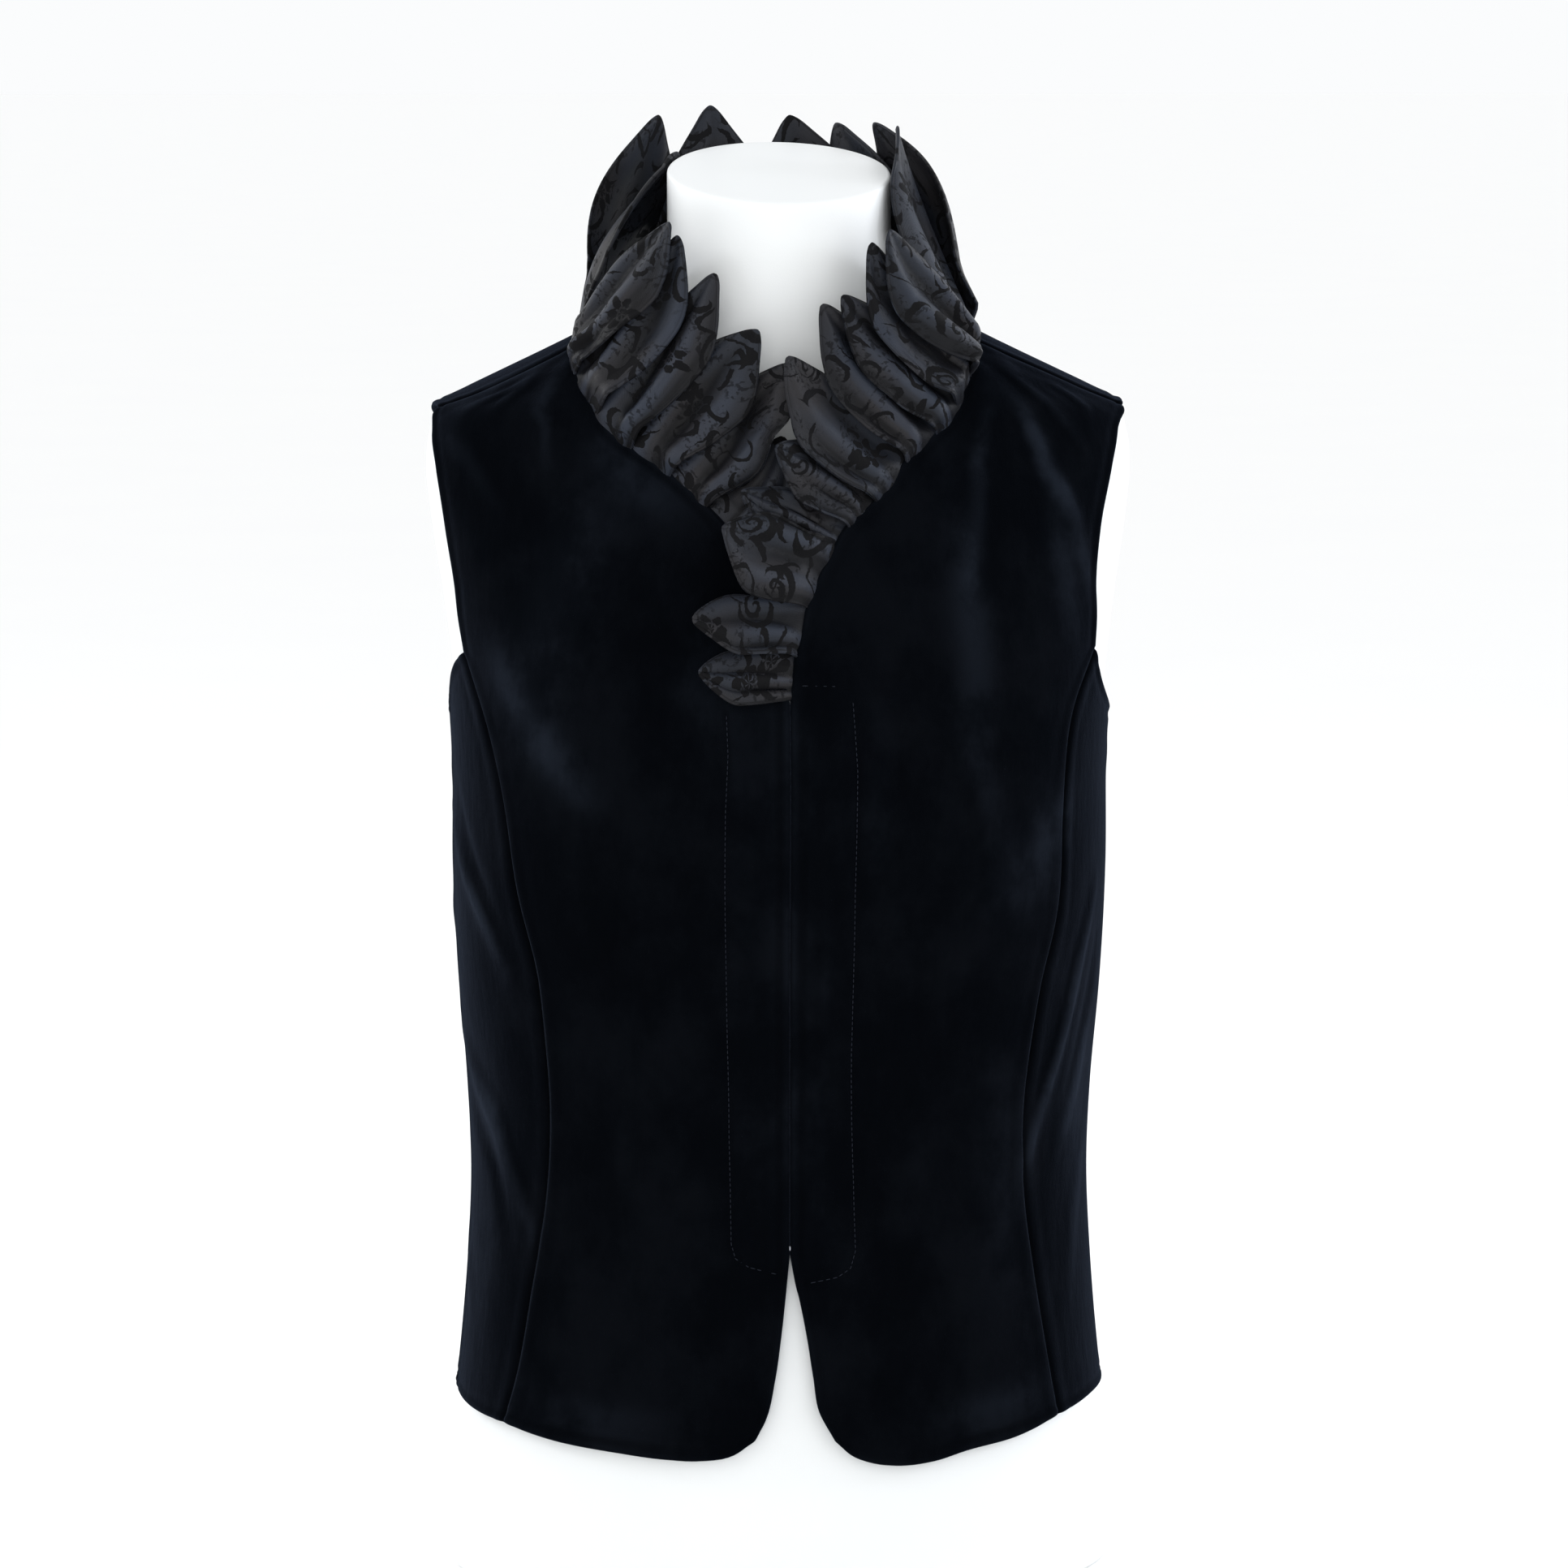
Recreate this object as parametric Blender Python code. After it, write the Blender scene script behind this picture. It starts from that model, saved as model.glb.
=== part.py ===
"""Sleeveless velvet vest with a standing collar of pointed leaves, on a limbless dress form.

Run with: blender --background --python part.py

Metres, +Z up. The front of the vest faces -Y and the wearer's left is +X. The origin is the
centre of the form's flat foot. Sizes in the tables are millimetres and degrees.

A place on the torso is an angle and a height: angle 0 is the centre front, +90 the wearer's
left side, 180 the centre back and -90 the wearer's right side.
"""
import math
from typing import NamedTuple

import bmesh
import bpy
import numpy as np
from mathutils.bvhtree import BVHTree

MM = 0.001

# Driving sizes of the cloth and of the form, in millimetres
VELVET_WALL = 2.0
LEAF_WALL = 1.4
SEAM_GAP = 0.3
MM_PER_DEGREE = 2.7
NECK_RADIUS = 58.5
CAP_HEIGHT = 736.5
CAP_SLOPE = 0.25
FORM_EDGE = 2.0
FORM_COLUMNS = 40
FORM_HEIGHTS = (0, 45, 90, 130, 170, 210, 255, 300, 345, 390, 430, 465, 500, 530, 558, 582, 600,
                612, 620, 630, 640, 650, 660, 670, 684, 700)
NECK_BAND_SHARE = 0.55
SHARP_DEGREES = 40


class Section(NamedTuple):
    """A level slice of the torso's cloth surface, half widths and depths from the axis."""
    height: float
    half_width: float
    front: float
    back: float
    squareness: float


SECTIONS = (
    Section(0, 184.0, 122.0, 122.0, 2.35),
    Section(50, 178.0, 119.0, 118.0, 2.35),
    Section(75, 175.0, 117.0, 114.0, 2.35),
    Section(103, 171.5, 115.0, 110.0, 2.35),
    Section(165, 166.0, 111.0, 100.0, 2.35),
    Section(208, 164.0, 109.0, 93.0, 2.35),
    Section(255, 165.5, 110.0, 88.0, 2.35),
    Section(313, 170.0, 115.0, 91.0, 2.40),
    Section(373, 172.5, 122.0, 99.0, 2.45),
    Section(430, 172.5, 124.0, 106.0, 2.45),
    Section(490, 176.5, 115.0, 111.0, 2.40),
    Section(520, 180.5, 107.0, 111.0, 2.35),
    Section(555, 186.0, 95.0, 106.0, 2.30),
    Section(585, 189.5, 83.0, 96.0, 2.25),
    Section(603, 188.5, 75.5, 88.0, 2.20),
    Section(615, 183.5, 70.5, 82.5, 2.15),
    Section(625, 164.0, 67.0, 78.0, 2.10),
    Section(635, 143.0, 64.5, 74.0, 2.10),
    Section(645, 122.0, 62.8, 70.5, 2.05),
    Section(655, 102.0, 61.9, 67.5, 2.00),
    Section(665, 86.0, 61.4, 65.0, 2.00),
    Section(675, 74.0, 61.2, 63.2, 2.00),
    Section(690, 65.0, 61.1, 61.9, 2.00),
    Section(706, 61.6, 61.1, 61.2, 2.00),
    Section(770, 61.0, 61.0, 61.0, 2.00),
)


class Ease(NamedTuple):
    """Free room between the form and the inside of the cloth at a height."""
    height: float
    room: float


FORM_EASE = (
    Ease(0, 6.0),
    Ease(90, 5.5),
    Ease(250, 5.0),
    Ease(380, 2.5),
    Ease(440, 1.9),
    Ease(500, 1.5),
    Ease(550, 1.6),
    Ease(582, 2.4),
    Ease(608, 3.8),
    Ease(625, 3.0),
    Ease(660, 2.4),
    Ease(700, 0.5),
    Ease(770, 0.5),
)


class Place(NamedTuple):
    """A point of the torso's cloth surface."""
    angle: float
    height: float


class Fold(NamedTuple):
    """A soft ridge of the cloth between two places."""
    start: Place
    end: Place
    rise: float
    half_width: float


FOLDS = (
    Fold(Place(-86, 412), Place(-57, 318), 3.0, 12.0),
    Fold(Place(-80, 296), Place(-52, 192), 3.2, 13.0),
    Fold(Place(-64, 612), Place(-50, 548), 2.0, 10.0),
    Fold(Place(70, 372), Place(44, 226), 3.6, 11.0),
    Fold(Place(34, 622), Place(27, 524), 2.6, 10.0),
    Fold(Place(42, 624), Place(60, 516), 2.4, 10.0),
    Fold(Place(100, 392), Place(140, 300), 3.0, 13.0),
    Fold(Place(-102, 380), Place(-142, 286), 3.0, 13.0),
    Fold(Place(106, 270), Place(150, 215), 2.4, 12.0),
    Fold(Place(-106, 250), Place(-148, 205), 2.4, 12.0),
)

# Edges of the cut pieces, each from bottom to top or from the front to the side
RIGHT_SLIT = (Place(-5.2, 87), Place(-3.75, 97.5), Place(-2.5, 118.5), Place(-1.75, 140),
              Place(-1.2, 161), Place(-0.7, 184))
RIGHT_CLOSURE = (Place(-0.7, 184), Place(-0.7, 470))
RIGHT_NECKLINE = (Place(-0.7, 470), Place(-1.3, 490), Place(-2.2, 510), Place(-3.6, 530), Place(-6.2, 549),
                  Place(-9.0, 562.5), Place(-11.2, 570.5), Place(-15, 582.5), Place(-20.2, 594.5),
                  Place(-24.7, 602.5), Place(-30.7, 616.5), Place(-42, 630.5), Place(-56, 642), Place(-69, 649))
RIGHT_PRINCESS = (Place(-58.5, 88), Place(-55.4, 115.5), Place(-52.7, 155), Place(-49.5, 198.5),
                  Place(-47.2, 241.5), Place(-46.7, 285), Place(-47.7, 328), Place(-52.7, 370),
                  Place(-56.7, 411.5), Place(-62.2, 452), Place(-70.4, 491))
RIGHT_ARMHOLE = (Place(-70.4, 491), Place(-71.2, 508), Place(-70.6, 526), Place(-70.8, 554),
                 Place(-71.2, 576), Place(-73, 592), Place(-75.4, 604), Place(-78, 615.5))
RIGHT_SHOULDER = (Place(-69, 649), Place(-69.2, 637), Place(-71, 625), Place(-78, 615.5))
RIGHT_FRONT_HEM = (Place(-5.2, 87), Place(-8.7, 79), Place(-14, 76.5), Place(-19.5, 77), Place(-29, 79.5),
                   Place(-41.5, 82.5), Place(-58.5, 88))
RIGHT_SIDE_HEM = (Place(-58.5, 88), Place(-74, 90), Place(-90, 93))
RIGHT_UNDERARM = (Place(-70.4, 491), Place(-74, 477), Place(-81, 463), Place(-90, 456))
RIGHT_SIDE_SEAM = (Place(-90, 93), Place(-90, 456))

LEFT_SLIT = (Place(4.3, 86), Place(2.25, 101.5), Place(1.6, 118.5), Place(0.9, 139.5),
             Place(0.1, 161), Place(-0.7, 184))
LEFT_CLOSURE = (Place(-0.7, 184), Place(-0.7, 470))
LEFT_NECKLINE = (Place(-0.7, 470), Place(-0.4, 490), Place(0.3, 510), Place(1.5, 530), Place(3.2, 542),
                 Place(5.7, 558), Place(8.7, 568), Place(12, 578), Place(14.7, 590), Place(21, 606),
                 Place(31.5, 626), Place(45.7, 641.5), Place(62, 651))
LEFT_PRINCESS = (Place(52, 88.5), Place(49.7, 129), Place(47.2, 168.5), Place(45.2, 203.5), Place(44.2, 238),
                 Place(44.5, 281.5), Place(46.0, 316), Place(50.2, 358), Place(51.4, 409), Place(54.7, 463),
                 Place(62.7, 492))
LEFT_ARMHOLE = (Place(62.7, 492), Place(62.2, 508), Place(60.4, 524), Place(59.7, 541), Place(60, 558),
                Place(61.4, 574), Place(64, 590), Place(67, 602), Place(77, 615))
LEFT_SHOULDER = (Place(62, 651), Place(65.4, 644), Place(68.9, 634), Place(72.4, 622), Place(77, 615))
LEFT_FRONT_HEM = (Place(4.3, 86), Place(7, 77.5), Place(9.7, 74), Place(13.7, 72), Place(20.2, 73),
                  Place(26.7, 77), Place(38.2, 81), Place(52, 88.5))
LEFT_SIDE_HEM = (Place(52, 88.5), Place(68.7, 93), Place(90, 94))
LEFT_UNDERARM = (Place(62.7, 492), Place(68, 475), Place(78, 461), Place(90, 456))
LEFT_SIDE_SEAM = (Place(90, 94), Place(90, 456))

# The back runs from the left side at 90 to the right side at 270
BACK_HEM = (Place(90, 94), Place(135, 97), Place(180, 98), Place(225, 97), Place(270, 93))
BACK_LEFT_ARMHOLE = (Place(90, 456), Place(99, 463), Place(107, 478), Place(113, 505), Place(117, 535),
                     Place(118, 565), Place(116, 590), Place(108, 607), Place(98, 615), Place(87, 616.5),
                     Place(77, 615))
BACK_RIGHT_ARMHOLE = (Place(270, 456), Place(261, 463), Place(253, 478), Place(247, 505), Place(243, 535),
                      Place(242, 565), Place(244, 590), Place(252, 607), Place(262, 615), Place(273, 617),
                      Place(282, 615.5))
BACK_NECKLINE = (Place(62, 651), Place(80, 655), Place(105, 656), Place(140, 650), Place(180, 646),
                 Place(220, 650), Place(255, 656), Place(278, 654), Place(291, 649))

# Grid counts of the cut pieces
SLIT_ROWS = 6
CLOSURE_ROWS = 12
NECKLINE_ROWS = 14
SHOULDER_COLUMNS = 8
SIDE_COLUMNS = 4
BACK_NECK_COLUMNS = 10
LEAF_ROWS = 9
LEAF_COLUMNS = 6


class Leaf(NamedTuple):
    """A pointed collar leaf. Its foot is sewn along the neckline, about the angle given here."""
    name: str
    foot_angle: float
    tip: tuple
    width: float
    facing: float   # compass direction of its outer face, as an angle round the torso
    pitch: float    # how far its outer face looks up, in degrees
    cup: float      # how far its edges bend back behind its middle
    bow: float      # how far its spine bows outwards
    lift: float     # how far its foot stands off the torso's cloth surface
    layer: int      # a leaf lies over its neighbours of lower layers


LEAVES = (
    Leaf("leaf_left_01", -0.52, (-51.5, -126.0, 488.0), 31.0, 0, 26, 1.5, 2.0, 1.5, 0),
    Leaf("leaf_left_02", 0.05, (-54.6, -126.0, 515.0), 35.0, 0, 30, 1.5, 3.0, 1.4, 1),
    Leaf("leaf_left_03", 1.9, (-39.2, -121.0, 560.4), 45.0, 4, 32, 2.5, 4.0, 1.4, 3),
    Leaf("leaf_left_04", 4.8, (-28.2, -107.0, 577.8), 28.0, 8, 30, 2.0, 2.0, 0.6, 1),
    Leaf("leaf_left_05", 7.7, (-11.1, -108.0, 600.5), 36.0, 14, 28, 2.5, 4.0, 0.4, 2),
    Leaf("leaf_left_06", 12.7, (-4.1, -97.0, 645.3), 46.0, 20, 25, 3.0, 6.0, 0.4, 4),
    Leaf("leaf_left_07", 18.3, (14.7, -84.0, 671.0), 44.0, 26, 20, 3.0, 8.0, 0.4, 5),
    Leaf("leaf_left_08", 23.5, (25.1, -82.0, 675.2), 44.0, 30, 20, 3.0, 9.0, 0.8, 6),
    Leaf("leaf_left_09", 32, (41.3, -70.0, 701.7), 44.0, 34, 18, 3.0, 10.0, 0.4, 7),
    Leaf("leaf_left_10", 46, (51.0, -66.0, 708.0), 48.0, 40, 16, 3.0, 13.0, 1.3, 8),
    Leaf("leaf_left_11", 72, (61.0, 2.0, 761.0), 50.0, 92, 10, 4.0, 8.0, -0.6, 1),
    Leaf("leaf_left_12", 104, (55.0, 44.0, 762.0), 54.0, 116, 10, 4.0, 15.0, 1.3, 2),
    Leaf("leaf_left_13", 136, (34.0, 72.0, 762.0), 52.0, 142, 10, 4.0, 8.0, -0.4, 1),
    Leaf("leaf_left_14", 166, (11.8, 84.0, 767.0), 54.0, 168, 5, 4.0, 13.0, 0.2, 2),
    Leaf("leaf_right_14", 194, (-27.1, 80.0, 772.0), 54.0, 194, 5, 4.0, 7.0, -0.6, 1),
    Leaf("leaf_right_13", 224, (-58.0, 60.0, 765.5), 54.0, 222, 10, 4.0, 14.0, 1.0, 2),
    Leaf("leaf_right_12", 256, (-48.0, 34.0, 746.0), 54.0, 252, 15, 4.0, 9.0, -0.6, 1),
    Leaf("leaf_right_11", 295, (-61.0, -58.0, 712.0), 50.0, 318, 16, 3.0, 13.0, 0.4, 8),
    Leaf("leaf_right_10", 325, (-57.0, -60.0, 705.3), 44.0, 324, 18, 3.0, 10.0, 0.4, 7),
    Leaf("leaf_right_09", 333.3, (-38.9, -72.0, 686.4), 44.0, 328, 20, 3.0, 9.0, 0.4, 6),
    Leaf("leaf_right_08", 340.8, (-17.7, -84.0, 657.9), 46.0, 334, 22, 3.0, 8.0, 0.4, 5),
    Leaf("leaf_right_07", 346.5, (-2.1, -88.0, 641.1), 46.0, 340, 25, 3.0, 6.0, 0.4, 3),
    Leaf("leaf_right_06", 351.4, (-5.6, -88.0, 604.0), 34.0, 350, 22, 2.0, 2.0, -0.6, 0),
)
# A foot starts inset from the neckline's edge and is then seated on it. It tilts by the step to let the next leaf lie over it,
# and fills this share of its length of neckline; its shape runs out over this share of the leaf
FOOT_INSET = 1.9
SEAT_GAP = 0.4
SEAT_ROUNDS = 6
FOOT_STEP = 1.4
FOOT_FILL = 0.5
FOOT_SHARE = 0.5
# The side of a leaf that lies under the next one swells later and less than its free side
TUCK_SWELL = 1.15
TUCK_SHARE = 0.7
# How far round the front the leaves lap upwards, as angles from the back
LAP_LEFT = 60
LAP_RIGHT = 290
LEAF_CLEARANCE = 1.5
TIP_HALF_WIDTH = 0.7
LAYER_GAP = 1.3
LAYER_REACH = 16.0
LAYER_EASE = 0.22
LAYER_ROUNDS = 3


def section_value(height, column):
    """Smooth value of one column of the section table at each height."""
    table = np.array(SECTIONS)
    heights = table[:, 0]
    values = table[:, column]
    slopes = np.gradient(values, heights)
    height = np.clip(height, heights[0], heights[-1])
    index = np.clip(np.searchsorted(heights, height) - 1, 0, len(heights) - 2)
    step = heights[index + 1] - heights[index]
    part = (height - heights[index]) / step
    square = part * part
    cube = square * part
    return ((2 * cube - 3 * square + 1) * values[index] + (cube - 2 * square + part) * step * slopes[index]
            + (3 * square - 2 * cube) * values[index + 1] + (cube - square) * step * slopes[index + 1])


def smooth_torso(angle, height):
    """Cloth surface without folds, in millimetres, for arrays of angles and heights."""
    turn = np.radians(angle)
    power = 2.0 / section_value(height, 4)
    side = np.sin(turn)
    ahead = np.cos(turn)
    depth = np.where(ahead > 0, section_value(height, 2), section_value(height, 3))
    x = section_value(height, 1) * np.sign(side) * np.abs(side) ** power
    y = -depth * np.sign(ahead) * np.abs(ahead) ** power
    return np.stack([x, y, np.broadcast_to(height, x.shape) + 0.0 * x], axis=-1)


def unit(vectors):
    """Vectors along the last axis, at length one."""
    return vectors / np.linalg.norm(vectors, axis=-1, keepdims=True)


def torso_normal(angle, height):
    """Outward direction of the smooth cloth surface."""
    turn_step = 0.5
    rise_step = 1.5
    around = smooth_torso(angle + turn_step, height) - smooth_torso(angle - turn_step, height)
    upward = smooth_torso(angle, height + rise_step) - smooth_torso(angle, height - rise_step)
    return unit(np.cross(around, upward))


def fold_rise(angle, height):
    """Total rise of the soft ridges at each place."""
    total = np.zeros(np.broadcast(angle, height).shape)
    for fold in FOLDS:
        for wrap in (0.0, 360.0):
            across = (angle - fold.start.angle - wrap) * MM_PER_DEGREE
            along = height - fold.start.height
            run = np.array([(fold.end.angle - fold.start.angle) * MM_PER_DEGREE,
                            fold.end.height - fold.start.height])
            length = np.hypot(*run)
            share = np.clip((across * run[0] + along * run[1]) / length ** 2, 0.0, 1.0)
            aside = np.hypot(across - share * run[0], along - share * run[1])
            crest = fold.rise * np.sin(np.pi * (0.12 + 0.76 * share))
            total = total + crest * np.exp(-(aside / fold.half_width) ** 2)
    return total


def cloth_point(angle, height, lift=0.0):
    """Point of the folded cloth, moved out by lift."""
    rise = fold_rise(angle, height) + lift
    return smooth_torso(angle, height) + torso_normal(angle, height) * rise[..., None]


def trace(places, count):
    """Evenly spaced places on a smooth curve through a row of places."""
    points = np.array(places, dtype=float) * (MM_PER_DEGREE, 1.0)
    if len(points) > 2:
        tangents = np.gradient(points, axis=0)
    else:
        tangents = np.repeat(points[1:] - points[:1], 2, axis=0)
    fine = []
    steps = np.linspace(0.0, 1.0, 24)[:, None]
    for start, end, leave, arrive in zip(points[:-1], points[1:], tangents[:-1], tangents[1:]):
        fine.append((2 * steps ** 3 - 3 * steps ** 2 + 1) * start + (steps ** 3 - 2 * steps ** 2 + steps) * leave
                    + (3 * steps ** 2 - 2 * steps ** 3) * end + (steps ** 3 - steps ** 2) * arrive)
    curve = np.concatenate(fine)
    run = np.concatenate([[0.0], np.cumsum(np.linalg.norm(np.diff(curve, axis=0), axis=1))])
    wanted = np.linspace(0.0, run[-1], count + 1)
    sampled = np.stack([np.interp(wanted, run, curve[:, axis]) for axis in (0, 1)], axis=1)
    return sampled / (MM_PER_DEGREE, 1.0)


def chain(*stretches):
    """Stretches of places joined end to end, with each shared end kept once."""
    parts = [stretches[0]]
    for stretch in stretches[1:]:
        parts.append(stretch[1:])
    return np.concatenate(parts)


class CuttingPlane:
    """The torso's cloth rolled out flat, as girth from a meridian and length up the cloth."""

    def __init__(self, meridian):
        """Tables of girth and length, with the meridian's angle as the zero of girth."""
        self.meridian = meridian
        self.angles = np.arange(0.0, 361.0, 1.0)
        self.heights = np.arange(0.0, SECTIONS[-1].height + 1.0, 5.0)
        grid_angles, grid_heights = np.meshgrid(self.angles, self.heights)
        rings = smooth_torso(grid_angles, grid_heights)
        steps = np.linalg.norm(np.diff(rings, axis=1), axis=2)
        self.girths = np.concatenate([np.zeros((len(self.heights), 1)), np.cumsum(steps, axis=1)], axis=1)
        widths = section_value(self.heights, 1)
        rises = np.hypot(np.diff(self.heights), np.diff(widths))
        self.lengths = np.concatenate([[0.0], np.cumsum(rises)])

    def girth_row(self, height):
        """Girth at every angle of one height."""
        index = min(int(height // 5), len(self.heights) - 2)
        share = (height - self.heights[index]) / 5.0
        return self.girths[index] * (1 - share) + self.girths[index + 1] * share

    def roll_out(self, places):
        """Flat points of an array of places."""
        flat = []
        for angle, height in places:
            row = self.girth_row(height)
            girth = math.copysign(np.interp(abs(angle), self.angles, row), angle)
            start = np.interp(self.meridian, self.angles, row)
            flat.append((girth - start, np.interp(height, self.heights, self.lengths)))
        return np.array(flat)

    def roll_back(self, flat):
        """Places of a grid of flat points."""
        places = np.empty(flat.shape)
        for index in np.ndindex(flat.shape[:-1]):
            height = np.interp(flat[index][1], self.lengths, self.heights)
            row = self.girth_row(height)
            girth = flat[index][0] + np.interp(self.meridian, self.angles, row)
            places[index] = (math.copysign(np.interp(abs(girth), row, self.angles), girth), height)
        return places


def pulled_in(edge, inner):
    """A flat edge moved half a seam gap towards the inside of its piece."""
    along = unit(np.gradient(edge, axis=0))
    aside = np.stack([-along[:, 1], along[:, 0]], axis=1)
    towards = np.sign(np.sum(aside * (inner - edge), axis=1, keepdims=True))
    return edge + aside * towards * SEAM_GAP / 2


def patch(bottom, top, front, side):
    """Grid between four flat edges, front and side running bottom to top."""
    across = np.linspace(0.0, 1.0, len(bottom))[None, :, None]
    upward = np.linspace(0.0, 1.0, len(front))[:, None, None]
    ruled = ((1 - upward) * bottom[None] + upward * top[None]
             + (1 - across) * front[:, None] + across * side[:, None])
    corners = ((1 - upward) * ((1 - across) * bottom[0] + across * bottom[-1])
               + upward * ((1 - across) * top[0] + across * top[-1]))
    return ruled - corners


def cut_piece(plane, bottom, top, front, side):
    """Grid of places of a piece between four edges of places, with its seams pulled in."""
    flat_front = plane.roll_out(front)
    flat_side = plane.roll_out(side)
    flat_bottom = plane.roll_out(bottom)
    flat_top = plane.roll_out(top)
    front_edge = pulled_in(flat_front, flat_side)
    side_edge = pulled_in(flat_side, flat_front)
    top_edge = pulled_in(flat_top, flat_bottom)
    top_edge[0] += front_edge[-1] - flat_front[-1]
    top_edge[-1] += side_edge[-1] - flat_side[-1]
    front_edge[-1] = top_edge[0]
    side_edge[-1] = top_edge[-1]
    flat_bottom[0] = front_edge[0]
    flat_bottom[-1] = side_edge[0]
    return plane.roll_back(patch(flat_bottom, top_edge, front_edge, side_edge))


def material(name, colour, roughness, metallic=0.0, sheen=0.0):
    """A Principled material of one plain colour."""
    made = bpy.data.materials.new(name)
    made.use_nodes = True
    shader = made.node_tree.nodes["Principled BSDF"]
    shader.inputs["Base Color"].default_value = (*colour, 1.0)
    shader.inputs["Roughness"].default_value = roughness
    shader.inputs["Metallic"].default_value = metallic
    shader.inputs["Sheen Weight"].default_value = sheen
    return made


def add_object(name, points, faces, finish, collection):
    """A mesh object from points in millimetres, shaded smooth but for its sharp rims."""
    mesh = bpy.data.meshes.new(name)
    mesh.from_pydata((points * MM).tolist(), [], faces)
    mesh.validate()
    built = bmesh.new()
    built.from_mesh(mesh)
    bmesh.ops.recalc_face_normals(built, faces=built.faces)
    if built.calc_volume(signed=True) < 0:
        bmesh.ops.reverse_faces(built, faces=built.faces)
    built.to_mesh(mesh)
    built.free()
    mesh.shade_smooth()
    mesh.set_sharp_from_angle(angle=math.radians(SHARP_DEGREES))
    mesh.materials.append(finish)
    made = bpy.data.objects.new(name, mesh)
    collection.objects.link(made)
    return made


def cloth_wall(name, outer, inner, finish, collection):
    """A closed wall between two grids of points, lofted across and joined round the rim."""
    rows, columns = outer.shape[:2]
    size = rows * columns
    index = np.arange(size).reshape(rows, columns)
    quads = np.stack([index[:-1, :-1], index[:-1, 1:], index[1:, 1:], index[1:, :-1]], axis=-1).reshape(-1, 4)
    rim = np.concatenate([index[0, :-1], index[:-1, -1], index[-1, :0:-1], index[:0:-1, 0]])
    following = np.roll(rim, -1)
    sides = np.stack([rim, rim + size, following + size, following], axis=1)
    faces = np.concatenate([quads, quads[:, ::-1] + size, sides]).tolist()
    points = np.concatenate([outer.reshape(-1, 3), inner.reshape(-1, 3)])
    return add_object(name, points, faces, finish, collection)


def add_panel(name, grid, finish, collection):
    """A velvet piece on a grid of places."""
    angle = grid[..., 0]
    height = grid[..., 1]
    outer = cloth_point(angle, height)
    inner = cloth_point(angle, height, -VELVET_WALL)
    return cloth_wall(name, outer, inner, finish, collection)


def front_grid(plane, slit, closure, neckline, princess, armhole, shoulder, hem):
    """Grid of places of one front piece."""
    inner = chain(trace(slit, SLIT_ROWS), trace(closure, CLOSURE_ROWS), trace(neckline, NECKLINE_ROWS))
    outer = chain(trace(princess, SLIT_ROWS + CLOSURE_ROWS), trace(armhole, NECKLINE_ROWS))
    return cut_piece(plane, trace(hem, SHOULDER_COLUMNS), trace(shoulder, SHOULDER_COLUMNS), inner, outer)


def side_grid(plane, princess, seam, hem, underarm):
    """Grid of places of one side piece, from the princess seam to the side seam."""
    rows = SLIT_ROWS + CLOSURE_ROWS
    return cut_piece(plane, trace(hem, SIDE_COLUMNS), trace(underarm, SIDE_COLUMNS),
                     trace(princess, rows), trace(seam, rows))


def back_grid(plane):
    """Grid of places of the back, whose top is shoulder, neckline and shoulder."""
    rows = SLIT_ROWS + CLOSURE_ROWS
    right_side = np.array(RIGHT_SIDE_SEAM) + (360, 0)
    right_shoulder = np.array(RIGHT_SHOULDER) + (360, 0)
    left = chain(trace(LEFT_SIDE_SEAM, rows), trace(BACK_LEFT_ARMHOLE, NECKLINE_ROWS))
    right = chain(trace(right_side, rows), trace(BACK_RIGHT_ARMHOLE, NECKLINE_ROWS))
    top = chain(trace(LEFT_SHOULDER, SHOULDER_COLUMNS)[::-1], trace(BACK_NECKLINE, BACK_NECK_COLUMNS),
                trace(right_shoulder, SHOULDER_COLUMNS))
    bottom = trace(BACK_HEM, len(top) - 1)
    return cut_piece(plane, bottom, top, left, right)


class Neckline:
    """The neckline as one path, from the foot of the V up the wearer's left and round to the right."""

    def __init__(self):
        """Fine points of the path and the length run at each."""
        right = np.array(RIGHT_NECKLINE)[::-1] + (360, 0)
        self.places = chain(trace(LEFT_NECKLINE, 160), trace(BACK_NECKLINE, 160), trace(right, 160))
        self.points = cloth_point(self.places[:, 0], self.places[:, 1])
        steps = np.linalg.norm(np.diff(self.points, axis=0), axis=1)
        self.runs = np.concatenate([[0.0], np.cumsum(steps)])

    def run_at(self, angle):
        """Length run along the path at an angle."""
        return float(np.interp(angle, self.places[:, 0], self.runs))

    def feet(self):
        """Lengths along the path where one leaf's foot ends and the next begins."""
        middles = np.array([self.run_at(leaf.foot_angle) for leaf in LEAVES])
        between = (middles[1:] + middles[:-1]) / 2
        first = max(2 * middles[0] - between[0], 1.0)
        last = 2 * middles[-1] - between[-1]
        return np.concatenate([[first], between, [last]])

    def frame(self, runs):
        """Points, outward normals and path directions at lengths along the path."""
        places = np.stack([np.interp(runs, self.runs, self.places[:, axis]) for axis in (0, 1)], axis=-1)
        points = cloth_point(places[:, 0], places[:, 1])
        normals = torso_normal(places[:, 0], places[:, 1])
        ahead = np.stack([np.interp(runs + 1.0, self.runs, self.points[:, axis]) for axis in range(3)], axis=-1)
        behind = np.stack([np.interp(runs - 1.0, self.runs, self.points[:, axis]) for axis in range(3)], axis=-1)
        along = unit(ahead - behind)
        return points, normals, unit(along - normals * np.sum(along * normals, axis=-1, keepdims=True))


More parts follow.
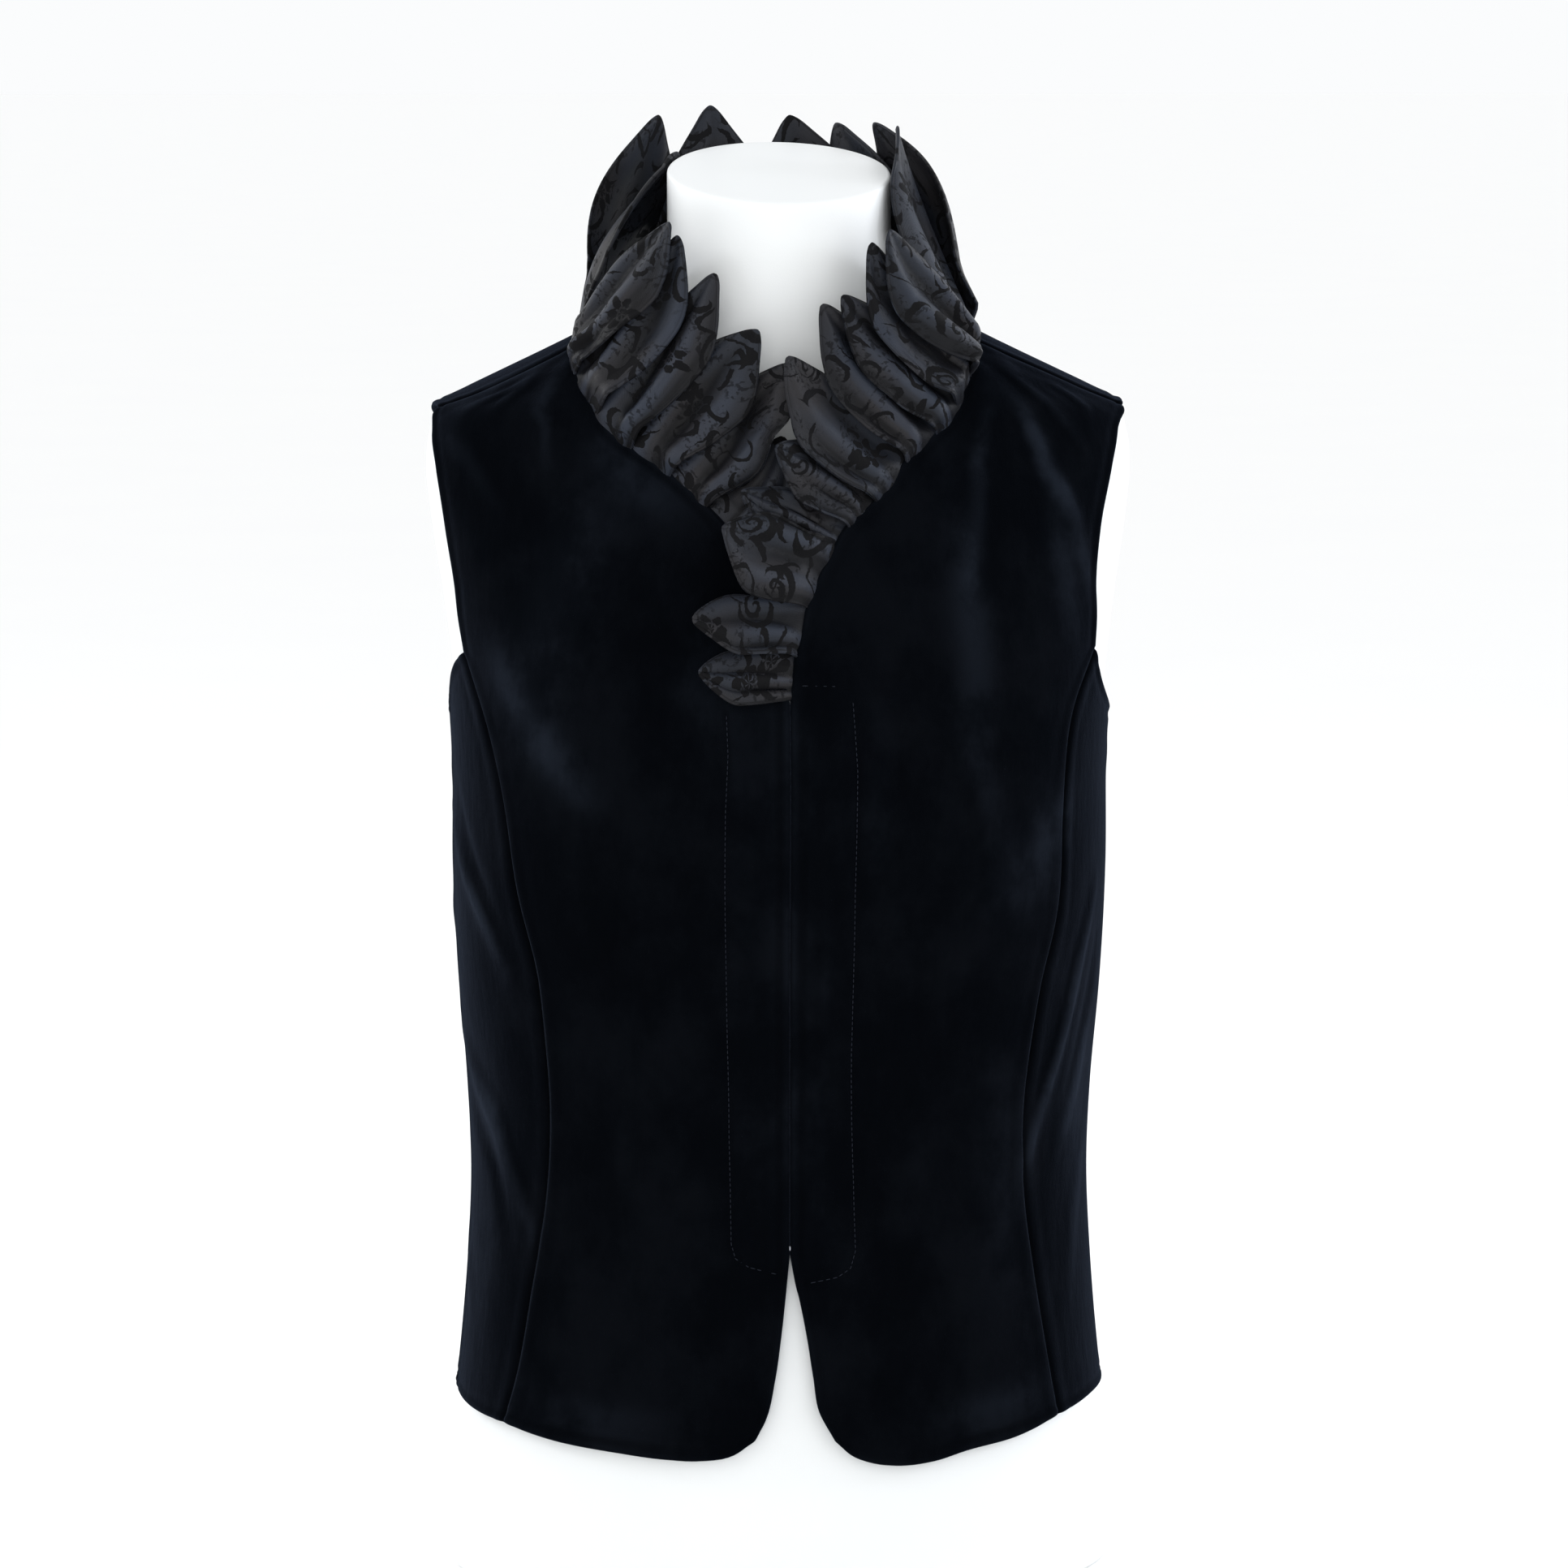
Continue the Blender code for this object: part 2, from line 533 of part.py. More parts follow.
def clear_of_torso(points, room):
    """Points moved out level until they stand at least room off the cloth surface."""
    height = points[..., 2]
    power = section_value(height, 4)
    depth = np.where(points[..., 1] < 0, section_value(height, 2), section_value(height, 3))
    scaled = ((np.abs(points[..., 0]) / section_value(height, 1)) ** power
              + (np.abs(points[..., 1]) / depth) ** power) ** (1 / power)
    away = np.hypot(points[..., 0], points[..., 1])
    surface = away / scaled
    wanted = np.maximum(away, surface + room * 1.25)
    factor = wanted / away
    return points * np.stack([factor, factor, np.ones_like(factor)], axis=-1)


def leaf_surface(leaf, neckline, first, last, across, along, inset):
    """Middle surface of a leaf, with its outward direction.

    Across runs -1 to 1 along the neckline and along runs 0 to 1 from foot to tip. The spine is
    a straight line bowed outwards. The half width swells from the foot and closes in a point,
    less on the side that lies under the next leaf, and the edges bend back by the cup. Near the
    foot the surface is eased onto the neckline.
    """
    runs = (first + last) / 2 + FOOT_FILL * across * (last - first) / 2
    points, normals, seams = neckline.frame(runs)
    middle = len(across) // 2
    opening = np.cross(normals, seams)
    lap = (leaf.foot_angle < LAP_LEFT) - float(leaf.foot_angle > LAP_RIGHT)
    foot_row = points + opening * inset + normals * (leaf.lift - lap * across[:, None] * FOOT_STEP)
    foot = points[middle] + opening[middle] * inset + normals[middle] * leaf.lift
    tip = np.array(leaf.tip)
    reach = np.linalg.norm(tip - foot)
    straight = (tip - foot) / reach
    facing = math.radians(leaf.facing)
    pitch = math.radians(leaf.pitch)
    face = np.array([math.sin(facing) * math.cos(pitch), -math.cos(facing) * math.cos(pitch), math.sin(pitch)])
    face = unit(face - straight * (face @ straight))
    side = np.cross(straight, face)
    side = side * np.sign(side @ seams[middle])
    u = along[:, None, None]
    v = across[None, :, None]
    spine = foot + straight * reach * u + face * leaf.bow * np.sin(np.pi * u ** 0.62)
    swell = np.where(v * lap > 0, TUCK_SHARE * np.sin(np.pi * u ** TUCK_SWELL), np.sin(np.pi * u))
    half = FOOT_FILL * (last - first) / 2 * (1 - u) ** 2.2 + leaf.width / 2 * swell
    half = np.minimum(half, leaf.width / 2) * (1 - u ** 7) + TIP_HALF_WIDTH * u
    surface = spine + side * half * v - face * leaf.cup * v ** 2 * np.minimum(1.0, 3 * u)
    ease = np.clip(1 - u / FOOT_SHARE, 0.0, 1.0) ** 2
    surface = surface + ease * (foot_row[None] - surface[:1])
    room = leaf.lift - FOOT_STEP + (LEAF_CLEARANCE - leaf.lift + FOOT_STEP) * np.clip(along / 0.15, 0.0, 1.0)
    return clear_of_torso(surface, room[:, None]), face


def laid_over(surface, face, solids):
    """Surface moved out along face until it clears the solids it lies over, with soft slopes."""
    rows, columns = surface.shape[:2]
    needed = LEAF_WALL / 2 + LAYER_GAP
    push = np.zeros((rows, columns))
    for row, column in np.ndindex(rows, columns):
        start = surface[row, column] + face * LAYER_REACH
        for solid in solids:
            distance = solid.ray_cast(start.tolist(), (-face).tolist(), LAYER_REACH + needed)[3]
            if distance is not None:
                push[row, column] = max(push[row, column], LAYER_REACH + needed - distance)
    up, across = np.meshgrid(np.linspace(0, 1.6, rows), np.linspace(0, 1, columns), indexing="ij")
    spots = np.stack([up.ravel(), across.ravel()], axis=1)
    apart = np.linalg.norm(spots[:, None] - spots[None], axis=2)
    spread = push.ravel()[None] * np.exp(-(apart / LAYER_EASE) ** 2)
    eased = spread.max(axis=1).reshape(rows, columns)
    return surface + face * eased[..., None]


def leaf_walls(leaf, neckline, first, last, solids, inset):
    """Outer and inner grids of a leaf, laid over the leaves that are already there."""
    along = np.linspace(0.0, 1.0, 2 * LEAF_ROWS - 1)
    across = np.linspace(-1.0, 1.0, 2 * LEAF_COLUMNS + 1)
    middle, face = leaf_surface(leaf, neckline, first, last, across, along, inset)
    for _ in range(LAYER_ROUNDS):
        middle = laid_over(middle, face, solids)
    middle = middle[::2, ::2]
    normal = surface_normal(middle, face)
    return middle + normal * LEAF_WALL / 2, middle - normal * LEAF_WALL / 2


def solid_tree(made):
    """Search tree of an object's faces, in millimetres."""
    points = [vertex.co / MM for vertex in made.data.vertices]
    return BVHTree.FromPolygons(points, [polygon.vertices for polygon in made.data.polygons])


def add_leaf(leaf, neckline, first, last, solids, panels, finish, collection):
    """A collar leaf as a thin closed wall, its foot seated close to the velvet's edge."""
    inset = FOOT_INSET
    for _ in range(SEAT_ROUNDS):
        outer, inner = leaf_walls(leaf, neckline, first, last, solids, inset)
        rim = np.concatenate([outer[0], inner[0]]).tolist()
        nearest = min(panel.find_nearest(point)[3] for panel in panels for point in rim)
        inset -= nearest - SEAT_GAP
    made = cloth_wall(leaf.name, outer, inner, finish, collection)
    solids.append(solid_tree(made))
    return made


def surface_normal(grid, outward):
    """Direction across a grid of points, on the side of outward."""
    upward = np.gradient(grid, axis=0)
    across = np.gradient(grid, axis=1)
    normal = unit(np.cross(across, upward))
    return normal * np.sign(np.sum(normal * outward, axis=-1, keepdims=True))


def add_dress_form(finish, collection):
    """The limbless form: torso, shoulders and neck in one closed turn of rings."""
    angles = np.linspace(0.0, 360.0, FORM_COLUMNS, endpoint=False)
    ease = np.array(FORM_EASE)
    rings = []
    for height in FORM_HEIGHTS:
        room = VELVET_WALL + np.interp(height, ease[:, 0], ease[:, 1])
        level = np.full(FORM_COLUMNS, float(height))
        inward = unit(torso_normal(angles, level) * (1, 1, height > 0))
        rings.append(smooth_torso(angles, level) - inward * room)
    foot = rings[0]
    rings[0] = foot + (0, 0, FORM_EDGE)
    rings.insert(0, foot - unit(foot) * FORM_EDGE)
    turn = np.radians(angles)
    rim = np.stack([np.sin(turn), -np.cos(turn)], axis=1)
    top = FORM_HEIGHTS[-1]
    edge = CAP_HEIGHT - FORM_EDGE + CAP_SLOPE * NECK_RADIUS * rim[:, 1:]
    inner_radius = NECK_RADIUS - FORM_EDGE
    rings.append(np.hstack([NECK_RADIUS * rim, top + (edge - top) * NECK_BAND_SHARE]))
    rings.append(np.hstack([NECK_RADIUS * rim, edge]))
    rings.append(np.hstack([inner_radius * rim, CAP_HEIGHT + CAP_SLOPE * inner_radius * rim[:, 1:]]))
    points = np.concatenate(rings)
    index = np.arange(len(points)).reshape(len(rings), FORM_COLUMNS)
    after = np.roll(index, -1, axis=1)
    quads = np.stack([index[:-1], after[:-1], after[1:], index[1:]], axis=-1).reshape(-1, 4).tolist()
    faces = quads + [index[0, ::-1].tolist(), index[-1].tolist()]
    return add_object("dress_form", points, faces, finish, collection)


def main():
    """Clear the scene and build the vest and its form."""
    for old in list(bpy.data.objects):
        bpy.data.objects.remove(old, do_unlink=True)
    collection = bpy.data.collections.new("vest_on_dress_form")
    bpy.context.scene.collection.children.link(collection)
    velvet = material("navy_black_velvet", (0.004, 0.005, 0.010), 0.85, sheen=0.4)
    damask = material("charcoal_damask_satin", (0.022, 0.024, 0.030), 0.45)
    shell = material("white_form_shell", (0.80, 0.80, 0.79), 0.45)
    add_dress_form(shell, collection)
    front_plane = CuttingPlane(0)
    back_plane = CuttingPlane(180)
    panels = {
        "right_front": front_grid(front_plane, RIGHT_SLIT, RIGHT_CLOSURE, RIGHT_NECKLINE, RIGHT_PRINCESS,
                                  RIGHT_ARMHOLE, RIGHT_SHOULDER, RIGHT_FRONT_HEM),
        "left_front": front_grid(front_plane, LEFT_SLIT, LEFT_CLOSURE, LEFT_NECKLINE, LEFT_PRINCESS,
                                 LEFT_ARMHOLE, LEFT_SHOULDER, LEFT_FRONT_HEM),
        "right_side_front": side_grid(front_plane, RIGHT_PRINCESS, RIGHT_SIDE_SEAM, RIGHT_SIDE_HEM,
                                      RIGHT_UNDERARM),
        "left_side_front": side_grid(front_plane, LEFT_PRINCESS, LEFT_SIDE_SEAM, LEFT_SIDE_HEM, LEFT_UNDERARM),
        "back": back_grid(back_plane),
    }
    velvet_trees = [solid_tree(add_panel(name, grid, velvet, collection)) for name, grid in panels.items()]
    neckline = Neckline()
    feet = neckline.feet()
    solids = []
    for leaf, first, last in sorted(zip(LEAVES, feet[:-1], feet[1:]), key=lambda row: row[0].layer):
        add_leaf(leaf, neckline, first + SEAM_GAP, last - SEAM_GAP, solids, velvet_trees, damask, collection)


main()
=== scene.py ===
"""Looks of the sleeveless velvet vest with a standing leaf collar, on its white dress form.

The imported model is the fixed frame, and each piece here stands for the solid of its name. Metres
in the scene, with +Z up, the front towards -Y and the wearer's left at +X. Tables hold
millimetres and degrees. A place on the torso is an angle round it, from the centre front towards
the wearer's left, and a height.
"""

import logging
import math
from dataclasses import dataclass
from enum import Enum
from typing import Callable, NamedTuple, Optional, Sequence, Union

import bpy
import numpy as np
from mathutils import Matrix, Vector


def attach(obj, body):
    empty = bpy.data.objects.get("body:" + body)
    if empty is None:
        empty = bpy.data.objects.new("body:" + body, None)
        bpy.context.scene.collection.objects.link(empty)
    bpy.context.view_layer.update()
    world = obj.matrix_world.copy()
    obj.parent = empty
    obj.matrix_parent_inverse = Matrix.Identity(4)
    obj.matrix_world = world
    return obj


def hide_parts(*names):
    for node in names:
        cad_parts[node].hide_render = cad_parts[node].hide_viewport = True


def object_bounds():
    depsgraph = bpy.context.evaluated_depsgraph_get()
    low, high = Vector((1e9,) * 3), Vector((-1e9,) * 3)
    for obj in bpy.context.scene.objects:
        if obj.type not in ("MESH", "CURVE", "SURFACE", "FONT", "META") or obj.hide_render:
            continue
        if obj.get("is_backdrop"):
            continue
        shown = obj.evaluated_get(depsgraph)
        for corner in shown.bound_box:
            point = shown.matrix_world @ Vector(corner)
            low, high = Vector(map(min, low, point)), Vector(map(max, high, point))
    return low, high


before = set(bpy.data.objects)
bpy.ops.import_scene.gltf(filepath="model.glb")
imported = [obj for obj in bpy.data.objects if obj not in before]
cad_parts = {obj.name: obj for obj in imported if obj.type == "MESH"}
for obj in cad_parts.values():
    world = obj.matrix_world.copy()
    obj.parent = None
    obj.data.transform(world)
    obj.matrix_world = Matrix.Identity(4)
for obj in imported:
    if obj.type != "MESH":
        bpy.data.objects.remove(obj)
CAD_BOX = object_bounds()

LOG = logging.getLogger("vest")
Array = np.ndarray
Socket = bpy.types.NodeSocket
Value = Union[Socket, float, int, str, bool, tuple[float, ...]]
MM = 0.001
# Rough girth of a degree round the torso, in millimetres
MM_PER_DEGREE = 2.7
VELVET_WALL = 2.0
LEAF_WALL = 1.7
NECK_RADIUS = 58.5
CAP_HEIGHT = 736.5
CAP_SLOPE = 0.25
# Points along each stretch of an edge
CURVE_POINTS = 120


class Section(NamedTuple):
    """A level slice of the torso's cloth surface, half widths and depths from the axis."""
    height: float
    half_width: float
    front: float
    back: float
    squareness: float


class Place(NamedTuple):
    """A point of the torso's cloth surface."""
    angle: float
    height: float


class Crease(NamedTuple):
    """A soft ridge, or a trough where its rise is negative, along a row of places."""
    path: tuple[Place, ...]
    rise: float
    half_width: float


class Leaf(NamedTuple):
    """A collar leaf: where its foot is sewn, its tip, and how it stands."""
    name: str
    foot_angle: float
    tip: tuple[float, float, float]
    width: float
    facing: float
    pitch: float
    cup: float
    bow: float
    lift: float
    layer: int
    waves: float
    weave_turn: float
    under: float = 1.0
    taper: float = 0.42
    swell: float = 0.62


def line(*numbers: float) -> tuple[Place, ...]:
    """Places from angles and heights in turn."""
    return tuple(Place(*pair) for pair in zip(numbers[::2], numbers[1::2]))


def creases(*rows: tuple[float, ...]) -> tuple[Crease, ...]:
    """Creases from rows that hold the rise, the half width, then angles and heights in turn."""
    return tuple(Crease(line(*row[2:]), *row[:2]) for row in rows)


# The torso's slices, from the foot to the top of the neck
SECTIONS = tuple(Section(*row) for row in (
    (0, 184, 122, 122, 2.35), (50, 178, 119, 118, 2.35), (75, 175, 117, 114, 2.35), (103, 171.5, 115, 110, 2.35),
    (165, 166, 111, 100, 2.35), (208, 164, 109, 93, 2.35), (255, 165.5, 110, 88, 2.35), (313, 170, 115, 91, 2.40),
    (373, 172.5, 122, 99, 2.45), (430, 172.5, 124, 106, 2.45), (490, 176.5, 115, 111, 2.40),
    (520, 180.5, 107, 111, 2.35), (555, 186, 95, 106, 2.30), (585, 189.5, 83, 96, 2.25), (603, 188.5, 75.5, 88, 2.20),
    (615, 183.5, 70.5, 82.5, 2.15), (625, 164, 67, 78, 2.10), (635, 143, 64.5, 74, 2.10), (645, 122, 62.8, 70.5, 2.05),
    (655, 102, 61.9, 67.5, 2.00), (665, 86, 61.4, 65, 2.00), (675, 74, 61.2, 63.2, 2.00), (690, 65, 61.1, 61.9, 2.00),
    (706, 61.6, 61.1, 61.2, 2.00), (770, 61, 61, 61, 2.00),))

# Free room between the form and the inside of the velvet, by height
FORM_EASE = ((0, 6), (90, 5.5), (250, 5), (380, 2.5), (440, 1.9), (500, 1.5), (550, 1.6),
             (582, 2.4), (608, 3.8), (625, 3), (660, 2.4), (700, 0.5), (770, 0.5))

# The front's creases as the photo shows them, then like ones on the sides and back
CREASES = creases(
    (1.6, 4.5, -65, 638, -57, 626, -53, 614),
    (1.2, 4, -59, 628, -64, 617),
    (1.8, 5, -61, 644, -51, 631, -40, 610, -39, 588),
    (1.5, 9, -70, 604, -58, 590, -48, 560),
    (1.7, 5.5, 45, 637, 31, 612, 28, 589, 27.5, 561, 26, 526),
    (2.2, 6, 46, 636, 39, 612, 42, 584, 50, 561, 58, 515),
    (1.4, 4.5, 66, 649, 51, 633, 47, 614, 53, 592),
    (1.2, 4, 61, 628, 56, 612),
    (2.6, 7, -88, 406, -63, 349, -55, 319),
    (-1.4, 6, -84, 424, -66, 372, -58, 344),
    (2.6, 8, -89, 290, -67, 246, -52, 188),
    (-1.6, 7, -86, 262, -68, 222, -59, 176),
    (1.4, 7, -89, 174, -79, 138),
    (1.3, 11, -58, 492, -46, 453, -33, 417),
    (3.4, 5.5, 67, 368, 60, 328, 54, 282, 45, 225),
    (-1.8, 6, 72, 352, 66, 300, 60, 250),
    (1.5, 6, 68, 301, 64, 262, 56, 226),
    (1.3, 9, 76, 246, 64, 190, 58, 140),
    (0.9, 12, 22, 470, 30, 420, 34, 372),
    (0.8, 13, -24, 330, -30, 268, -27, 210),
    (0.7, 12, 14, 300, 19, 236, 15, 190),
    (2.2, 8, 84, 432, 112, 400, 138, 382),
    (2.8, 9, 88, 372, 118, 330, 150, 312),
    (2.4, 9, 96, 316, 128, 268, 158, 256),
    (1.9, 11, 92, 236, 118, 196, 132, 150),
    (2, 8, -92, 424, -120, 398, -146, 384),
    (2.7, 9, -90, 352, -120, 318, -152, 306),
    (2.2, 9, -94, 296, -126, 256, -160, 248),
    (1.9, 11, -96, 226, -122, 190, -136, 146),
    (1.9, 10, 112, 560, 136, 520, 152, 470),
    (1.8, 10, -113, 556, -137, 512, -150, 462),
    (1.5, 9, 150, 612, 178, 604, 208, 611),
    (1.8, 8, 163, 300, 180, 292, 196, 301),
    (1.4, 8, 168, 262, 184, 256, 202, 264),
    (1.2, 14, 172, 200, 170, 130),
    (1.1, 14, 204, 210, 207, 136),
)

# Painted sheen: where the velvet is painted lighter on the shoulders, over the bust, beside the folds and along the
# hem, and painted darker where the rise is negative
PAINTED_LIGHT_PATCHES = creases(
    (0.8, 15, -73, 638, -62, 604),
    (0.5, 27, -64, 505, -46, 453, -28, 405),
    (0.55, 26, -26, 585, -40, 520, -52, 460),
    (0.5, 11, -13, 558, -31, 603),
    (0.4, 14, -12, 520, -14, 440),
    (0.6, 13, 24, 606, 26, 520, 30, 425),
    (0.75, 13, 40, 622, 48, 540, 58, 470),
    (0.75, 24, 28, 350, 44, 394, 62, 436),
    (0.4, 10, 10, 470, 10, 360),
    (0.65, 24, 62, 340, 66, 240, 70, 150),
    (0.6, 18, -64, 330, -70, 210, -72, 120),
    (0.45, 12, -58, 104, -34, 96, -16, 96),
    (0.5, 12, 16, 92, 36, 98, 56, 108),
    (0.4, 24, 34, 300, 40, 200, 36, 140),
    (-0.35, 40, -34, 420, -30, 330, -32, 240),
    (-0.3, 30, 22, 430, 20, 330, 18, 230),
    (0.7, 18, 142, 540, 162, 470, 170, 380),
    (0.65, 18, 218, 530, 202, 462, 194, 372),
    (0.7, 16, 112, 430, 140, 372, 156, 330),
    (0.7, 16, 246, 424, 220, 366, 206, 322),
    (0.6, 15, 120, 624, 150, 612, 210, 612, 240, 624),
    (0.6, 22, 134, 230, 140, 120),
    (0.6, 22, 228, 236, 222, 124),
    (0.4, 26, 170, 260, 186, 120),
)

# The edges of the velvet pieces, each from below to above or away from the centre front
RIGHT_SLIT = line(-5.2, 87, -3.75, 97.5, -2.5, 118.5, -1.75, 140, -1.2, 161, -0.7, 184)
RIGHT_CLOSURE = line(-0.7, 184, -0.7, 470)
RIGHT_NECKLINE = line(-0.7, 470, -1.3, 490, -2.2, 510, -3.6, 530, -6.2, 549, -9, 562.5, -11.2, 570.5, -15, 582.5,
                      -20.2, 594.5, -24.7, 602.5, -30.7, 616.5, -42, 630.5, -56, 642, -69, 649)
RIGHT_PRINCESS = line(-58.5, 88, -55.4, 115.5, -52.7, 155, -49.5, 198.5, -47.2, 241.5, -46.7, 285, -47.7, 328,
                      -52.7, 370, -56.7, 411.5, -62.2, 452, -70.4, 491)
RIGHT_ARMHOLE = line(-70.4, 491, -71.2, 508, -70.6, 526, -70.8, 554, -71.2, 576, -73, 592, -75.4, 604, -78, 615.5)
RIGHT_SHOULDER = line(-69, 649, -69.2, 637, -71, 625, -78, 615.5)
RIGHT_FRONT_HEM = line(-5.2, 87, -8.7, 79, -14, 76.5, -19.5, 77, -29, 79.5, -41.5, 82.5, -58.5, 88)
RIGHT_SIDE_HEM = line(-58.5, 88, -74, 90, -90, 93)
RIGHT_UNDERARM = line(-70.4, 491, -75, 487, -81, 479, -86, 468, -90, 456)
RIGHT_SIDE_SEAM = line(-90, 93, -90, 456)
LEFT_SLIT = line(4.3, 86, 2.25, 101.5, 1.6, 118.5, 0.9, 139.5, 0.1, 161, -0.7, 184)
LEFT_CLOSURE = line(-0.7, 184, -0.7, 470)
LEFT_NECKLINE = line(-0.7, 470, -0.4, 490, 0.3, 510, 1.5, 530, 3.2, 542, 5.7, 558, 8.7, 568, 12, 578, 14.7, 590,
                     21, 606, 31.5, 626, 45.7, 641.5, 62, 651)
LEFT_PRINCESS = line(52, 88.5, 49.7, 129, 47.2, 168.5, 45.2, 203.5, 44.2, 238, 44.5, 281.5, 46, 316, 50.2, 358,
                     51.4, 409, 54.7, 463, 62.7, 492)
LEFT_ARMHOLE = line(62.7, 492, 62.2, 508, 60.4, 524, 59.7, 541, 60, 558, 61.4, 574, 64, 590, 67, 602, 77, 615)
LEFT_SHOULDER = line(62, 651, 65.4, 644, 68.9, 634, 72.4, 622, 77, 615)
LEFT_FRONT_HEM = line(4.3, 86, 7, 77.5, 9.7, 74, 13.7, 72, 20.2, 73, 26.7, 77, 38.2, 81, 52, 88.5)
LEFT_SIDE_HEM = line(52, 88.5, 68.7, 93, 90, 94)
LEFT_UNDERARM = line(62.7, 492, 68, 475, 78, 461, 90, 456)
LEFT_SIDE_SEAM = line(90, 94, 90, 456)
BACK_HEM = line(90, 94, 135, 97, 180, 98, 225, 97, 270, 93)
BACK_LEFT_ARMHOLE = line(90, 456, 99, 463, 107, 478, 113, 505, 117, 535, 118, 565, 116, 590, 108, 607, 98, 615,
                         87, 616.5, 77, 615)
BACK_RIGHT_ARMHOLE = line(270, 456, 261, 463, 253, 478, 247, 505, 243, 535, 242, 565, 244, 590, 252, 607, 262, 615,
                          273, 617, 282, 615.5)
BACK_NECKLINE = line(62, 651, 80, 655, 105, 656, 140, 650, 180, 646, 220, 650, 255, 656, 278, 654, 291, 649)

# The stitched outlines of the hidden placket, and the short tack at the left one's top
RIGHT_PLACKET = line(-8.8, 465, -8.6, 445, -9, 416, -9.1, 332, -9.4, 246, -9.1, 190, -8.4, 182, -6.3, 177.5,
                     -1.6, 173)
LEFT_PLACKET = line(6.1, 471, 6.6, 436, 6.3, 373, 6.7, 288, 7.5, 223, 7.8, 185, 7, 176, 5, 171.5, 0.8, 168.5)
TOP_TACK = line(0.1, 479.6, 4.6, 479)

# The collar's leaves in their order along the neckline
LEAVES = tuple(Leaf(*row) for row in (
    ("leaf_left_01", -0.52, (-51.5, -126, 488), 31, 0, 26, 1.5, 2, 1.5, 0, 0.5, 20, 1.7),
    ("leaf_left_02", 0.05, (-54.6, -126, 515), 35, 0, 30, 1.5, 3, 1.4, 1, 0.6, 75, 1.7),
    ("leaf_left_03", 1.9, (-39.2, -121, 560.4), 45, 4, 32, 2.5, 4, 1.4, 3, 0.8, 140, 1.7),
    ("leaf_left_04", 4.8, (-28.2, -107, 577.8), 28, 8, 30, 2, 2, 0.6, 1, 0.5, 10, 1.7),
    ("leaf_left_05", 7.7, (-11.1, -108, 600.5), 36, 14, 28, 2.5, 4, 0.4, 2, 0.7, 55, 1.7),
    ("leaf_left_06", 12.7, (-4.1, -97, 645.3), 46, 20, 25, 3, 6, 0.4, 4, 0.9, 110, 1.7),
    ("leaf_left_07", 18.3, (14.7, -84, 671), 44, 26, 20, 3, 8, 0.4, 5, 1.4, 30, 1.7),
    ("leaf_left_08", 23.5, (25.1, -82, 675.2), 44, 30, 20, 3, 9, 0.8, 6, 1.6, 85, 1.7),
    ("leaf_left_09", 32, (41.3, -70, 701.7), 44, 34, 18, 3, 10, 0.4, 7, 1.6, 160, 1.7),
    ("leaf_left_10", 46, (51, -66, 708), 48, 40, 16, 3, 13, 0.7, 8, 1.5, 40),
    ("leaf_left_11", 72, (61, 2, 760), 58, 72, 10, 6, 11, -0.6, 1, 1.2, 95, 1.15, 0.38, 0.9),
    ("leaf_left_12", 104, (54, 44, 761), 74, 116, 10, 8.5, 22, 0.8, 2, 1, 15, 0.85, 0.44, 1.3),
    ("leaf_left_13", 136, (36.5, 72, 760.5), 68, 142, 10, 8, 9, -0.4, 1, 1, 65, 1.15, 0.46, 0.9),
    ("leaf_left_14", 166, (12.7, 84, 764.5), 80, 168, 5, 8.5, 13, 0.2, 2, 1.1, 125, 1.15, 0.48),
    ("leaf_right_14", 194, (-30, 80, 769.8), 74, 194, 5, 8, 8, -0.6, 1, 0.9, 35, 1.15, 0.48),
    ("leaf_right_13", 224, (-59, 58, 765), 92, 224, 10, 9, 22, 1, 2, 1.1, 80, 1.15, 0.56, 1.1),
    ("leaf_right_12", 256, (-48, 34, 746), 78, 252, 15, 7, 21, -0.6, 1, 1, 150, 1.15, 0.50, 0.9),
    ("leaf_right_11", 295, (-61, -58, 712), 44, 318, 16, 3, 13, 0.4, 8, 1.5, 25),
    ("leaf_right_10", 325, (-57, -60, 705.3), 44, 324, 18, 3, 10, 0.4, 7, 1.6, 100, 1.7),
    ("leaf_right_09", 333.3, (-38.9, -72, 686.4), 39, 328, 20, 3, 9, 0.4, 6, 1.6, 60, 1.7),
    ("leaf_right_08", 340.8, (-17.7, -84, 657.9), 50, 334, 22, 3, 8, 0.4, 5, 1.2, 130, 1.7),
    ("leaf_right_07", 346.5, (-2.1, -88, 641.1), 46, 340, 25, 3, 6, 0.4, 3, 0.9, 5, 1.7),
    ("leaf_right_06", 351.4, (-5.6, -88, 604), 34, 350, 22, 2, 2, -0.6, 0, 0.5, 70, 1.7),
))


def unit(vectors: Array) -> Array:
    """The same directions at length one, for vectors along the last axis."""
    return vectors / np.linalg.norm(vectors, axis=-1, keepdims=True)


def bell(distance: Array, half_width: float) -> Array:
    """A smooth hump: exp of minus the square of distance over half width."""
    return np.exp(-(distance / half_width) ** 2)


def hermite(knots: Array, values: Array, wanted: Array) -> Array:
    """Smooth curve through a table.

    Args:
        knots: Rising positions of the table's rows.
        values: Value at each position.
        wanted: Positions asked for, held to the table's ends.

    Returns:
        Cubic Hermite values, with slopes from the neighbouring rows.
    """
    slopes = np.gradient(values, knots)
    wanted = np.clip(wanted, knots[0], knots[-1])
    index = np.clip(np.searchsorted(knots, wanted) - 1, 0, len(knots) - 2)
    step = knots[index + 1] - knots[index]
    part = (wanted - knots[index]) / step
    square, cube = part ** 2, part ** 3
    return ((2 * cube - 3 * square + 1) * values[index] + (cube - 2 * square + part) * step * slopes[index]
            + (3 * square - 2 * cube) * values[index + 1] + (cube - square) * step * slopes[index + 1])


